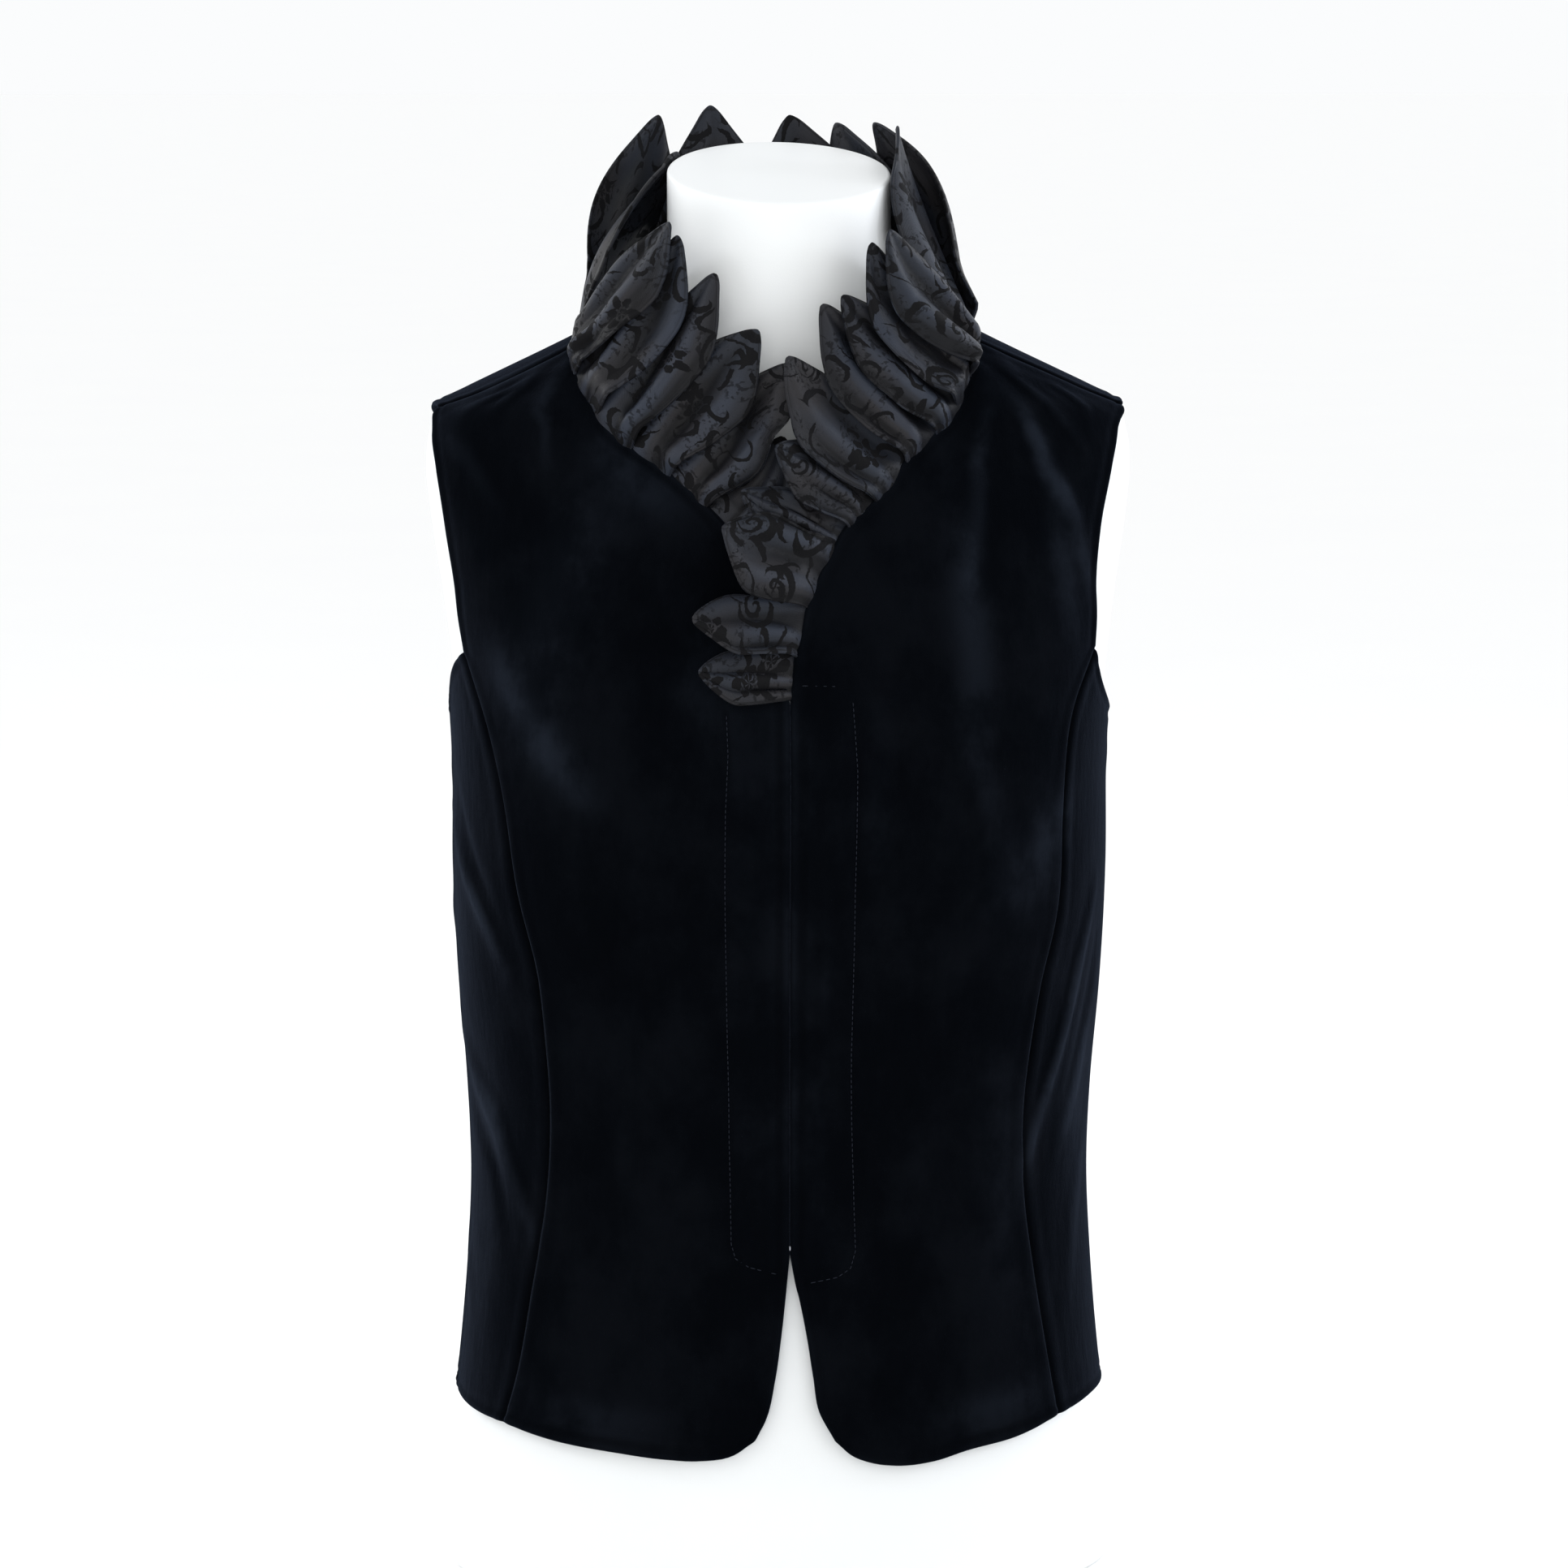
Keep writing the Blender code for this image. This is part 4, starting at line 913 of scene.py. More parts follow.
@dataclass(frozen=True)
class Damask:
    """Tone on tone jacquard: dull dark scrolls, fronds and flower heads woven in a satin ground, with painted shade in
    its fold troughs and painted highlight on its fold crests.
    """
    ground: str = "23272f"
    warm: str = "272526"
    thread: str = "1a1c21"
    figure: str = "050507"
    seam: str = "0b0b0e"
    # Painted shade colour for the fold troughs, then painted highlight colour for the fold crests
    painted_trough_shade: str = "060608"
    painted_crest_sheen: str = "333945"
    glow: str = "9aa0b4"
    # Millimetres between motifs, and between ribs, which are drawn about twice as coarse as real ones
    repeat: float = 36.0
    rib: float = 0.55

    def build(self) -> bpy.types.Material:
        """Makes the material on the cloth's own flat coordinates, in millimetres.

        The figures' outlines sway over 17 mm and fray over 1.7 mm.

        Returns:
            The damask.
        """
        made = Shading("charcoal_damask_satin")
        add = made.add
        spot = add("VectorMath", "MULTIPLY", add("UVMap", "cloth"), (1000.0, 1000.0, 0.0))
        spots = [spot]
        for size, detail, reach in ((17.0, 1.0, 9.0), (1.7, 2.0, 1.5)):
            sway = add("TexNoise", "3D", spot, Scale=1 / size, Detail=detail, output="Color")
            drift = add("VectorMath", "MULTIPLY", add("VectorMath", "SUBTRACT", sway, HALF), (reach, reach, 0.0))
            spots.append(add("VectorMath", "ADD", spots[-1], drift))
        bent, ragged = spots[1:]
        figure = add("Math", "MAXIMUM", self.motifs(add, ragged), self.curls(add, ragged))
        mottle = add("MapRange", "SMOOTHSTEP", add("TexNoise", "3D", bent, Scale=1 / 2.6, Roughness=0.6), 0.52, 0.60)
        patch = add("MapRange", "SMOOTHSTEP", add("TexNoise", "3D", bent, Scale=1 / 18.0, Detail=1.0), 0.47, 0.54)
        stained = add("Math", "MULTIPLY", add("Math", "MULTIPLY", mottle, patch), 0.7)
        shaded = add("Math", "MAXIMUM", figure, stained)
        up = add("SeparateXYZ", "", spot, output="Y")
        ribs = add("Math", "SINE", add("Math", "MULTIPLY", up, FULL_TURN / self.rib))
        threads = add("TexNoise", "3D", add("VectorMath", "MULTIPLY", spot, (1.0, 6.0, 1.0)), Scale=1.1,
                      Roughness=0.7)
        warmth = add("MapRange", "SMOOTHSTEP", add("TexNoise", "3D", bent, Scale=1 / 40.0, Detail=1.0), 0.35, 0.65)
        edge = add("Math", "ABSOLUTE", add("Math", "SUBTRACT", add("Attribute", "mark", output="Fac"), 1.35))
        seam = add("Math", "SUBTRACT", 1.0, add("MapRange", "SMOOTHSTEP", edge, 0.1, 0.5))
        rises = add("Attribute", "fold", output="Fac")
        # Painted highlight on the ground's fold crests
        painted_crest_share = add("Math", "MULTIPLY", add("MapRange", "SMOOTHSTEP", rises, 0.5, 2.6, 0.0, 0.45),
                     add("Math", "SUBTRACT", 1.0, shaded))
        tone = colour(self.ground)
        # The last two mixes are painted shade in the fold troughs and painted highlight on the fold crests
        for share, shade in ((warmth, self.warm), (add("MapRange", "SMOOTHSTEP", threads, 0.3, 0.8), self.thread),
                             (shaded, self.figure), (add("Math", "MULTIPLY", seam, 0.75), self.seam),
                             (add("MapRange", "SMOOTHSTEP", rises, 0.4, -2.4, 0.0, 0.8), self.painted_trough_shade),
                             (painted_crest_share, self.painted_crest_sheen)):
            tone = add("Mix", "RGBA", share, A_Color=tone, B_Color=colour(shade), output=2)
        weave = add("Math", "ADD", add("Math", "MULTIPLY", ribs, 0.25), add("Math", "MULTIPLY", threads, 0.9))
        height = add("Math", "ADD", add("Math", "MULTIPLY", shaded, -0.8), weave)
        return made.finish(
            Base_Color=tone, Roughness=add("MapRange", "SMOOTHSTEP", shaded, 0.0, 1.0, 0.40, 0.75),
            Specular_IOR_Level=0.13, Sheen_Weight=0.03, Sheen_Roughness=0.4, Sheen_Tint=colour(self.glow),
            Normal=add("Bump", Height=height, Distance=0.00012, Strength=0.8))

    def motifs(self, add: Callable[..., Socket], spot: Socket) -> Socket:
        """Scrolls, curved fronds and flower heads, one to a cell.

        Args:
            add: The material's call for a node.
            spot: Flat position in millimetres.

        Returns:
            One on a figure and zero on the ground.
        """
        cell = add("TexVoronoi", "2D", spot, Scale=1 / self.repeat, Randomness=0.7).node.outputs
        offset = add("VectorMath", "SUBTRACT", spot, cell["Position"])
        parts = add("SeparateXYZ", "", offset).node.outputs
        pick = add("SeparateColor", "", cell["Color"]).node.outputs
        reach = add("VectorMath", "LENGTH", offset, output="Value")
        angle = add("Math", "ADD", add("Math", "ARCTAN2", parts["Y"], parts["X"]),
                    add("Math", "MULTIPLY", pick[0], 6.28))
        winding = add("Math", "FRACT", add("Math", "ADD", add("Math", "DIVIDE", angle, FULL_TURN),
                                           add("Math", "DIVIDE", reach, 4.6)))
        thick = add("MapRange", "SMOOTHSTEP", reach, 0.5, 6.5, 0.13, 0.30)
        coil = add("Math", "LESS_THAN", add("Math", "ABSOLUTE", add("Math", "SUBTRACT", winding, 0.5)), thick)
        scroll = add("Math", "MULTIPLY", coil, add("Math", "LESS_THAN", reach, 5.2))
        swing = add("Math", "COSINE", add("Math", "ADD", angle, add("Math", "MULTIPLY", pick[1], 3.0)))
        centre = add("Math", "ADD", add("Math", "MULTIPLY", swing, 1.9), 7.6)
        swell = add("Math", "POWER", add("MapRange", "SMOOTHSTEP", swing, -0.35, 1.0), 0.8)
        frond = add("Math", "LESS_THAN", add("Math", "ABSOLUTE", add("Math", "SUBTRACT", reach, centre)),
                    add("Math", "MULTIPLY", swell, 2.1))
        petals = add("Math", "COSINE", add("Math", "MULTIPLY", angle, 6.0))
        head = add("Math", "LESS_THAN", reach, add("Math", "ADD", add("Math", "MULTIPLY", petals, 1.6), 7.2))
        ring = add("Math", "GREATER_THAN", add("Math", "ABSOLUTE", add("Math", "SUBTRACT", reach, 3.0)), 0.55)
        veins = add("Math", "GREATER_THAN", add("Math", "ADD", petals, add("Math", "DIVIDE", reach, 9.0)), -0.35)
        flower = add("Math", "MULTIPLY", add("Math", "MULTIPLY", head, ring), veins)
        return add("Mix", "FLOAT", add("Math", "GREATER_THAN", pick[2], 0.68),
                   A_Float=add("Math", "MAXIMUM", scroll, frond), B_Float=flower)

    def curls(self, add: Callable[..., Socket], spot: Socket) -> Socket:
        """Small hooked leaves between the motifs: a disc less a disc set to one side, and a stem.

        Args:
            add: The material's call for a node.
            spot: Flat position in millimetres.

        Returns:
            One on a curl and zero beside it.
        """
        shifted = add("VectorMath", "ADD", spot, (413.0, 271.0, 0.0))
        cell = add("TexVoronoi", "2D", shifted, Scale=1.75 / self.repeat, Randomness=0.85).node.outputs
        offset = add("VectorMath", "SUBTRACT", shifted, cell["Position"])
        pick = add("SeparateColor", "", cell["Color"]).node.outputs
        turned = add("VectorRotate", "Z_AXIS", offset, Angle=add("Math", "MULTIPLY", pick[0], 6.28))
        long = add("VectorMath", "MULTIPLY", turned, (1.0, 0.62, 1.0))
        disc = add("VectorMath", "LENGTH", long, output="Value")
        hole = add("VectorMath", "LENGTH", add("VectorMath", "SUBTRACT", long, (1.7, 0.5, 0.0)), output="Value")
        size = add("MapRange", "SMOOTHSTEP", pick[1], 0.0, 1.0, 2.8, 5.4)
        hook = add("Math", "MULTIPLY", add("Math", "LESS_THAN", disc, size),
                   add("Math", "GREATER_THAN", hole, add("Math", "MULTIPLY", size, 0.78)))
        field = add("TexNoise", "3D", spot, Scale=1 / 24.0, Detail=0.0)
        width = add("MapRange", "SMOOTHSTEP", add("TexNoise", "3D", spot, Scale=1 / 12.0, Detail=0.0), 0.42, 0.62,
                    0.0, 0.02)
        stem = add("Math", "LESS_THAN", add("Math", "ABSOLUTE", add("Math", "SUBTRACT", field, 0.5)), width)
        return add("Math", "MAXIMUM", hook, stem)


@dataclass(frozen=True)
class FormShell:
    """The dress form's white satin skin, with a faint stipple and a hint of wear."""
    tone: str = "e0e2e2"
    worn: str = "dbdddc"

    def build(self) -> bpy.types.Material:
        """Makes the material.

        Returns:
            The shell's finish.
        """
        made = Shading("white_form_shell")
        add = made.add
        where = add("TexCoord", output="Object")
        dust = add("MapRange", "SMOOTHSTEP", add("TexNoise", "3D", where, Scale=9.0, Detail=3.0), 0.35, 0.75)
        stipple = add("TexNoise", "3D", where, Scale=1500.0, Roughness=0.6)
        return made.finish(
            Base_Color=add("Mix", "RGBA", add("Math", "MULTIPLY", dust, 0.35), A_Color=colour(self.tone),
                           B_Color=colour(self.worn), output=2),
            Roughness=add("MapRange", "SMOOTHSTEP", dust, 0.0, 1.0, 0.40, 0.50), Specular_IOR_Level=0.45,
            Normal=add("Bump", Height=stipple, Distance=0.00008, Strength=0.5))


@dataclass(frozen=True)
class Thread:
    """Sewing thread, a little bluer and shinier than the velvet around it."""
    tone: str = "0c0f16"
    lit: str = "161b27"

    def build(self) -> bpy.types.Material:
        """Makes the material.

        Returns:
            The thread.
        """
        made = Shading("blue_black_thread")
        add = made.add
        twist = add("TexNoise", "3D", add("TexCoord", output="Object"), Scale=2400.0, Detail=1.0)
        return made.finish(
            Base_Color=add("Mix", "RGBA", twist, A_Color=colour(self.tone), B_Color=colour(self.lit), output=2),
            Roughness=0.6, Specular_IOR_Level=0.15,
            Normal=add("Bump", Height=twist, Distance=0.0001, Strength=0.6))


@dataclass(frozen=True)
class ZipMetal:
    """Zip metal, blackened or bright, with fine scuffs that show as uneven gloss."""
    name: str
    tone: str
    rough: float
    scuffed: str = "4a4c52"

    def build(self) -> bpy.types.Material:
        """Makes the material.

        Returns:
            The metal.
        """
        made = Shading(self.name)
        add = made.add
        scuffs = add("TexNoise", "3D", add("TexCoord", output="Object"), Scale=900.0, Detail=3.0, Roughness=0.7)
        return made.finish(
            Base_Color=add("Mix", "RGBA", scuffs, A_Color=colour(self.tone), B_Color=colour(self.scuffed), output=2),
            Metallic=0.9,
            Roughness=add("MapRange", "SMOOTHSTEP", scuffs, 0.3, 0.7, self.rough - 0.08, self.rough + 0.12))


def dress(piece: bpy.types.Object, finish: bpy.types.Material, slot: Optional[str] = None,
          *nodes: str) -> bpy.types.Object:
    """Gives a piece its finish and hangs it on the frame.

    Args:
        piece: The piece.
        finish: Its material.
        slot: Not used.
        *nodes: Solids that it stands for.

    Returns:
        The piece.
    """
    piece.data.materials.append(finish)
    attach(piece, "root")
    if nodes:
        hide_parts(*nodes)
    return piece


@dataclass(frozen=True)
class VelvetVest:
    """The five velvet pieces, sewn at the princess, side and shoulder seams."""
    torso: Torso
    velvet: bpy.types.Material
    placket_foot: float = 172.0
    placket_top: float = 474.0

    def cuts(self) -> list[tuple[PanelCut, float, bool]]:
        """The pieces' cuts.

        Returns:
            For each piece its cut, the meridian of its cutting plane and whether its faces flip.
        """
        seam = EdgeFinish.SEAM

        def side(*stretches: tuple) -> EdgeLine:
            """One side of a piece from its stretches."""
            return EdgeLine(tuple(Stretch(*stretch) for stretch in stretches))

        fronts = ((RIGHT_SLIT, RIGHT_CLOSURE, RIGHT_NECKLINE, RIGHT_PRINCESS, RIGHT_ARMHOLE, RIGHT_SHOULDER,
                   RIGHT_FRONT_HEM, RIGHT_SIDE_SEAM, RIGHT_SIDE_HEM, RIGHT_UNDERARM),
                  (LEFT_SLIT, LEFT_CLOSURE, LEFT_NECKLINE, LEFT_PRINCESS, LEFT_ARMHOLE, LEFT_SHOULDER,
                   LEFT_FRONT_HEM, LEFT_SIDE_SEAM, LEFT_SIDE_HEM, LEFT_UNDERARM))
        cuts = []
        for name, flip, lines in zip(("right", "left"), (True, False), fronts):
            slit, closure, neckline, princess, armhole, shoulder, hem, side_seam, side_hem, underarm = lines
            cuts.append((PanelCut(name + "_front", side((hem,)), side((shoulder, 1, seam)),
                                  side((slit, 6), (closure, 12), (neckline, 14)),
                                  side((princess, 18, seam), (armhole, 14)), inner_steps=PLACKET_STEPS), 0.0, flip))
            cuts.append((PanelCut(name + "_side_front", side((side_hem,)), side((underarm,)),
                                  side((princess, 1, seam)), side((side_seam, 1, seam))), 0.0, flip))
        back_top = side((LEFT_SHOULDER, 8, seam, 0, True), (BACK_NECKLINE, 10), (RIGHT_SHOULDER, 8, seam, 360))
        back = PanelCut("back", side((BACK_HEM,)), back_top, side((LEFT_SIDE_SEAM, 18, seam), (BACK_LEFT_ARMHOLE, 14)),
                        side((RIGHT_SIDE_SEAM, 18, seam, 360), (BACK_RIGHT_ARMHOLE, 14)), column_step=3.8)
        return [*cuts[::2], *cuts[1::2], (back, 180.0, False)]

    def placket_relief(self, places: Array) -> Array:
        """Relief of the hidden placket: a slight rise inside its stitched line, which is sunk.

        Args:
            places: Places of a front piece.

        Returns:
            Millimetres out from the surface.
        """
        spots = places * (MM_PER_DEGREE, 1.0)
        total = np.zeros(places.shape[:2])
        for stitches, side in ((RIGHT_PLACKET, -1.0), (LEFT_PLACKET, 1.0)):
            corners = np.array(stitches)
            away, _ = line_distance(spots, corners * (MM_PER_DEGREE, 1.0))
            middle = np.interp(places[..., 1], corners[::-1, 1], corners[::-1, 0])
            inside = 1 / (1 + np.exp(-(middle - places[..., 0]) * side * MM_PER_DEGREE / 0.8))
            near = (places[..., 0] + 0.7) * side > 0
            tall = (np.clip((places[..., 1] - self.placket_foot) / 8, 0, 1)
                    * np.clip((self.placket_top - places[..., 1]) / 8, 0, 1))
            total = total + near * (0.45 * inside * tall - 0.6 * bell(away, 1.1))
        ripple_angle = 2.6 + 0.25 * np.sin(places[..., 1] / 23.0) + 0.12 * np.sin(places[..., 1] / 9.0)
        beside = (places[..., 0] - ripple_angle) * MM_PER_DEGREE
        held = np.clip((places[..., 1] - 186) / 30, 0, 1) * np.clip((420 - places[..., 1]) / 60, 0, 1)
        return total + 0.5 * bell(beside, 1.6) * held * (0.7 + 0.3 * np.sin(places[..., 1] / 17.0))

    def build(self) -> list[bpy.types.Object]:
        """Builds the pieces.

        Returns:
            The pieces.
        """
        made = []
        planes = {meridian: CuttingPlane(self.torso, meridian) for meridian in (0.0, 180.0)}
        for cut, meridian, flip in self.cuts():
            grid = cut.grid(planes[meridian])
            angle, height = grid.places[..., 0], grid.places[..., 1]
            relief = grid.relief + (self.placket_relief(grid.places) if cut.name.endswith("t_front") else 0.0)
            outer = self.torso.cloth(angle, height, relief)
            inner = self.torso.cloth(angle, height, -VELVET_WALL)
            # Painted highlight and painted shade of the velvet, handed to its material as the mark
            painted_light = self.torso.painted_light(angle, height, relief)
            piece = add_shell("velvet_" + cut.name, outer, inner, grid.flat * MM, painted_light, flip)
            dress(piece, self.velvet, "navy_black_velvet", cut.name)
            grid.extent
            grid.area
            LOG.info("%s: cut %.3f x %.3f m, area %.4f m2, %d faces", piece.name, *grid.extent, grid.area,
                     len(piece.data.polygons))
            made.append(piece)
        return made


class Neckline:
    """The neckline as one path, from the foot of the V up the wearer's left and round to the right."""

    def __init__(self, torso: Torso) -> None:
        """Makes the fine points of the path.

        Args:
            torso: The cloth surface.
        """
        self.torso = torso
        places = np.concatenate([np.array(LEFT_NECKLINE), np.array(BACK_NECKLINE)[1:],
                                 np.array(RIGHT_NECKLINE)[::-1][1:] + (360, 0)])
        run = run_lengths(places * (MM_PER_DEGREE, 1))
        self.places = along_curve(np.linspace(0.0, run[-1], 500), run, places)
        self.points = torso.cloth(self.places[:, 0], self.places[:, 1])
        self.runs = run_lengths(self.points)

    def run_at(self, angle: float) -> float:
        """Length in millimetres along the path at an angle."""
        return float(np.interp(angle, self.places[:, 0], self.runs))

    def feet(self) -> Array:
        """Lengths where one leaf's foot ends and the next begins.

        Returns:
            One length more than there are leaves.
        """
        middles = np.array([self.run_at(leaf.foot_angle) for leaf in LEAVES])
        between = (middles[1:] + middles[:-1]) / 2
        return np.concatenate([[max(2 * middles[0] - between[0], 1.0)], between, [2 * middles[-1] - between[-1]]])

    def seat(self, runs: Array) -> tuple[Array, Array, Array]:
        """The path's frame.

        Args:
            runs: Lengths along the path.

        Returns:
            Points, outward normals and directions along the path.
        """
        angle, height = along_row(runs, self.runs, self.places).T
        normals = self.torso.normal(angle, height)
        along = unit(along_row(runs + 1.0, self.runs, self.points) - along_row(runs - 1.0, self.runs, self.points))
        level = along - normals * np.sum(along * normals, axis=-1, keepdims=True)
        return self.torso.cloth(angle, height), normals, unit(level)


@dataclass(frozen=True)
class LeafShape:
    """A leaf's surface before it is given its two layers."""
    middle: Array
    face: Array
    straight: Array
    side: Array
    reach: float
    half: Array
    fold: Array


@dataclass(frozen=True)
class LeafCollar:
    """The standing collar: two-layer jacquard leaves whose feet are sewn under the neckline."""
    torso: Torso
    damask: bpy.types.Material
    rows: int = 58
    columns: int = 43
    foot_fill: float = 1.02
    foot_share: float = 0.52
    foot_pull: float = 0.38
    tip_radius: float = 3.0
    curl: float = 2.0
    gather: float = 2.7
    gather_fade: float = 33.0
    rise_share: float = 0.40
    lean: float = 0.14
    under_edge: float = 3.5
    under_depth: float = 2.95
    under_lap: float = 1.0
    seam_inset: float = 1.35
    gap: float = 0.9

    def spacing(self) -> tuple[Array, Array]:
        """Grid positions, closer together at the rims and the tip.

        Returns:
            Positions across from -1 to 1, and along from 0 to 1.
        """
        across = np.sin(np.linspace(-0.5, 0.5, self.columns) * np.pi)
        along = 1 - (1 - np.linspace(0.0, 1.0, self.rows)) ** 1.4
        return across, along

    def widths(self, leaf: Leaf, along: Array, reach: float) -> tuple[Array, Array]:
        """Half width along a leaf.

        It is half the leaf's width times sin of pi/2 times the distance from the tip over the
        tapering length, rounded at the tip and drawn in at the foot.

        Args:
            leaf: The leaf.
            along: Positions from the foot, at 0, to the tip, at 1.
            reach: Length from foot to tip.

        Returns:
            The share of the whole width, and the half width in millimetres.
        """
        from_tip = reach * (1 - along)
        profile = np.sin(np.pi / 2 * np.minimum(1.0, (1 - along) / leaf.taper)) ** 0.92
        half = leaf.width / 2 * profile * (1 - np.exp(-from_tip / 1.2))
        half = np.maximum(half + np.sqrt(2 * self.tip_radius * from_tip) * np.exp(-from_tip / 3.5), 0.35)
        return profile, half * (1 - self.foot_pull * (1 - along) ** 2.2)

    def waves(self, leaf: Leaf, u: Array, v: Array, reach: float) -> Array:
        """Height of a leaf's waves.

        A soft curl is a sine over the whole leaf. The gathers are sines across it that fade from
        the foot as exp of minus the distance to the power 1.5, sharper below than above.

        Args:
            leaf: The leaf.
            u: Positions along, from 0 to 1.
            v: Positions across, from -1 to 1.
            reach: Length from foot to tip.

        Returns:
            Millimetres out from the leaf's face.
        """
        phase = leaf.weave_turn * 0.7
        curl = self.curl * leaf.waves * np.sin(1.9 * np.pi * v + 2.4 * u + phase) * np.sin(np.pi * u ** 0.8)
        fold = np.sin(np.pi * (2.7 * v + 0.7 * np.sin(2.1 * v + phase) + 0.5 * u) + phase)
        return curl + self.gather * np.exp(-(u * reach / self.gather_fade) ** 1.5) * (fold - 0.35 * fold ** 2)

    def shape(self, leaf: Leaf, neckline: Neckline, first: float, last: float) -> LeafShape:
        """Middle surface of a leaf.

        The spine leaves the neckline square to it and bends to the tip as a quadratic curve. The
        free side is wider by the lean, and the edges bend back by the cup times v squared. At its
        foot the leaf lies under the velvet's edge.

        Args:
            leaf: The leaf.
            neckline: The neckline's path.
            first: Length along the path where the foot starts.
            last: Length where it ends.

        Returns:
            The leaf's shape.
        """
        across, along = self.spacing()
        lap = float(leaf.foot_angle < 60) - float(leaf.foot_angle > 290)
        tucked = np.clip(lap * across, 0.0, 1.0)
        fill = np.where((tucked > 0) | (lap == 0), leaf.under, self.foot_fill)
        points, normals, seams = neckline.seat((first + last) / 2 + fill * across * (last - first) / 2)
        centre = len(across) // 2
        opening = np.cross(normals, seams)
        depth = self.under_depth + self.under_lap * tucked
        foot_row = points - opening * self.under_edge - normals * depth[:, None]
        foot = points[centre] + opening[centre] * 1.0 + normals[centre] * leaf.lift
        tip = np.array(leaf.tip)
        reach = float(np.linalg.norm(tip - foot))
        straight = (tip - foot) / reach
        facing, pitch = math.radians(leaf.facing), math.radians(leaf.pitch)
        face = np.array([math.sin(facing) * math.cos(pitch), -math.cos(facing) * math.cos(pitch), math.sin(pitch)])
        face = unit(face - straight * (face @ straight))
        side = np.cross(straight, face)
        turn = np.sign(side @ seams[centre])
        u, v = along[:, None], across[None, :, None]
        rise = opening[centre] * self.rise_share * reach
        spine = foot + 2 * u * (1 - u) * rise + u ** 2 * (tip - foot)
        tangent = unit(2 * (1 - 2 * u) * rise + 2 * u * (tip - foot))
        own_face = unit(face - tangent * (tangent @ face)[:, None])
        sides = (turn * np.cross(tangent, own_face))[:, None]
        own_face = own_face[:, None]
        spine = spine + face * leaf.bow * np.sin(np.pi * u ** leaf.swell)
        profile, half = self.widths(leaf, along, reach)
        u = along[:, None, None]
        uneven = 1 - self.lean * lap * np.sign(v)
        surface = spine[:, None] + sides * half[:, None, None] * v * uneven
        surface = surface - own_face * leaf.cup * v ** 2 * np.minimum(1.0, 3 * u) * profile[:, None, None] ** 2
        waves = self.waves(leaf, u, v, reach)
        surface = surface + own_face * waves
        up = along * reach
        ease = np.clip(1 - (up - self.under_edge) / (self.foot_share * reach), 0.0, 1.0) ** 2.3
        surface = surface + ease[:, None, None] * (foot_row[None] - surface[:1])
        room = np.clip((up - 3.0) / 9.0, 0.0, 1.0) * 4.1 - self.under_depth
        surface = self.torso.cleared(surface, room[:, None])
        return LeafShape(surface, face, straight, side * turn, reach, half[:, None] * uneven[..., 0], waves[..., 0])

    def laid_over(self, shape: LeafShape, below: list[Array]) -> Array:
        """Moves a leaf out along its face until it clears those it lies over.

        Every third point is compared with the points of the others that lie within 3 mm across
        the face. The moves are spread as soft bells and laid back over the whole grid.

        Args:
            shape: The leaf's shape.
            below: Point grids of the leaves already there.

        Returns:
            The moved middle surface.
        """
        basis = np.stack([shape.side, shape.straight, shape.face], axis=1)
        rows = np.linspace(0, shape.middle.shape[0] - 1, 20).round().astype(int)
        columns = np.linspace(0, shape.middle.shape[1] - 1, 15).round().astype(int)
        moved = shape.middle
        for _ in range(3):
            own = (moved[np.ix_(rows, columns)] @ basis).reshape(-1, 3)
            need = np.zeros(len(own))
            for other in below:
                flat = other @ basis
                near = flat[(np.abs(flat[:, 2] - own[:, 2].mean()) < 45)
                            & (np.abs(flat[:, 0] - own[:, 0].mean()) < 60)]
                if len(near) == 0:
                    continue
                apart = ((own[:, None, :2] - near[None, :, :2]) ** 2).sum(axis=2)
                ahead = near[None, :, 2] - own[:, None, 2] + LEAF_WALL + self.gap
                found = np.where((apart < 9.0) & (ahead < 14.0), ahead, 0.0)
                need = np.maximum(need, found.max(axis=1))
            if need.max() <= 0.05:
                break
            up, over = np.meshgrid(np.linspace(0, 1.6, len(rows)), np.linspace(0, 1, len(columns)), indexing="ij")
            spots = np.stack([up.ravel(), over.ravel()], axis=1)
            apart = np.linalg.norm(spots[:, None] - spots[None], axis=2)
            eased = (need[None] * bell(apart, 0.2)).max(axis=1).reshape(len(rows), len(columns))
            held = np.clip((self.spacing()[1] * shape.reach - self.under_edge) / 12.0, 0.0, 1.0)
            moved = moved + shape.face * (self.resized(eased, moved.shape[:2]) * held[:, None])[..., None]
        return moved

    @staticmethod
    def resized(coarse: Array, size: tuple[int, int]) -> Array:
        """Enlarges a grid of values by linear weights along both axes.

        Args:
            coarse: Values on the coarse grid.
            size: Rows and columns wanted.

        Returns:
            Values on the fine grid.
        """
        weights = []
        for count, wanted in zip(coarse.shape, size):
            spots = np.linspace(0, count - 1, wanted)
            weights.append(np.clip(1 - np.abs(spots[:, None] - np.arange(count)[None]), 0.0, 1.0))
        return weights[0] @ coarse @ weights[1].T

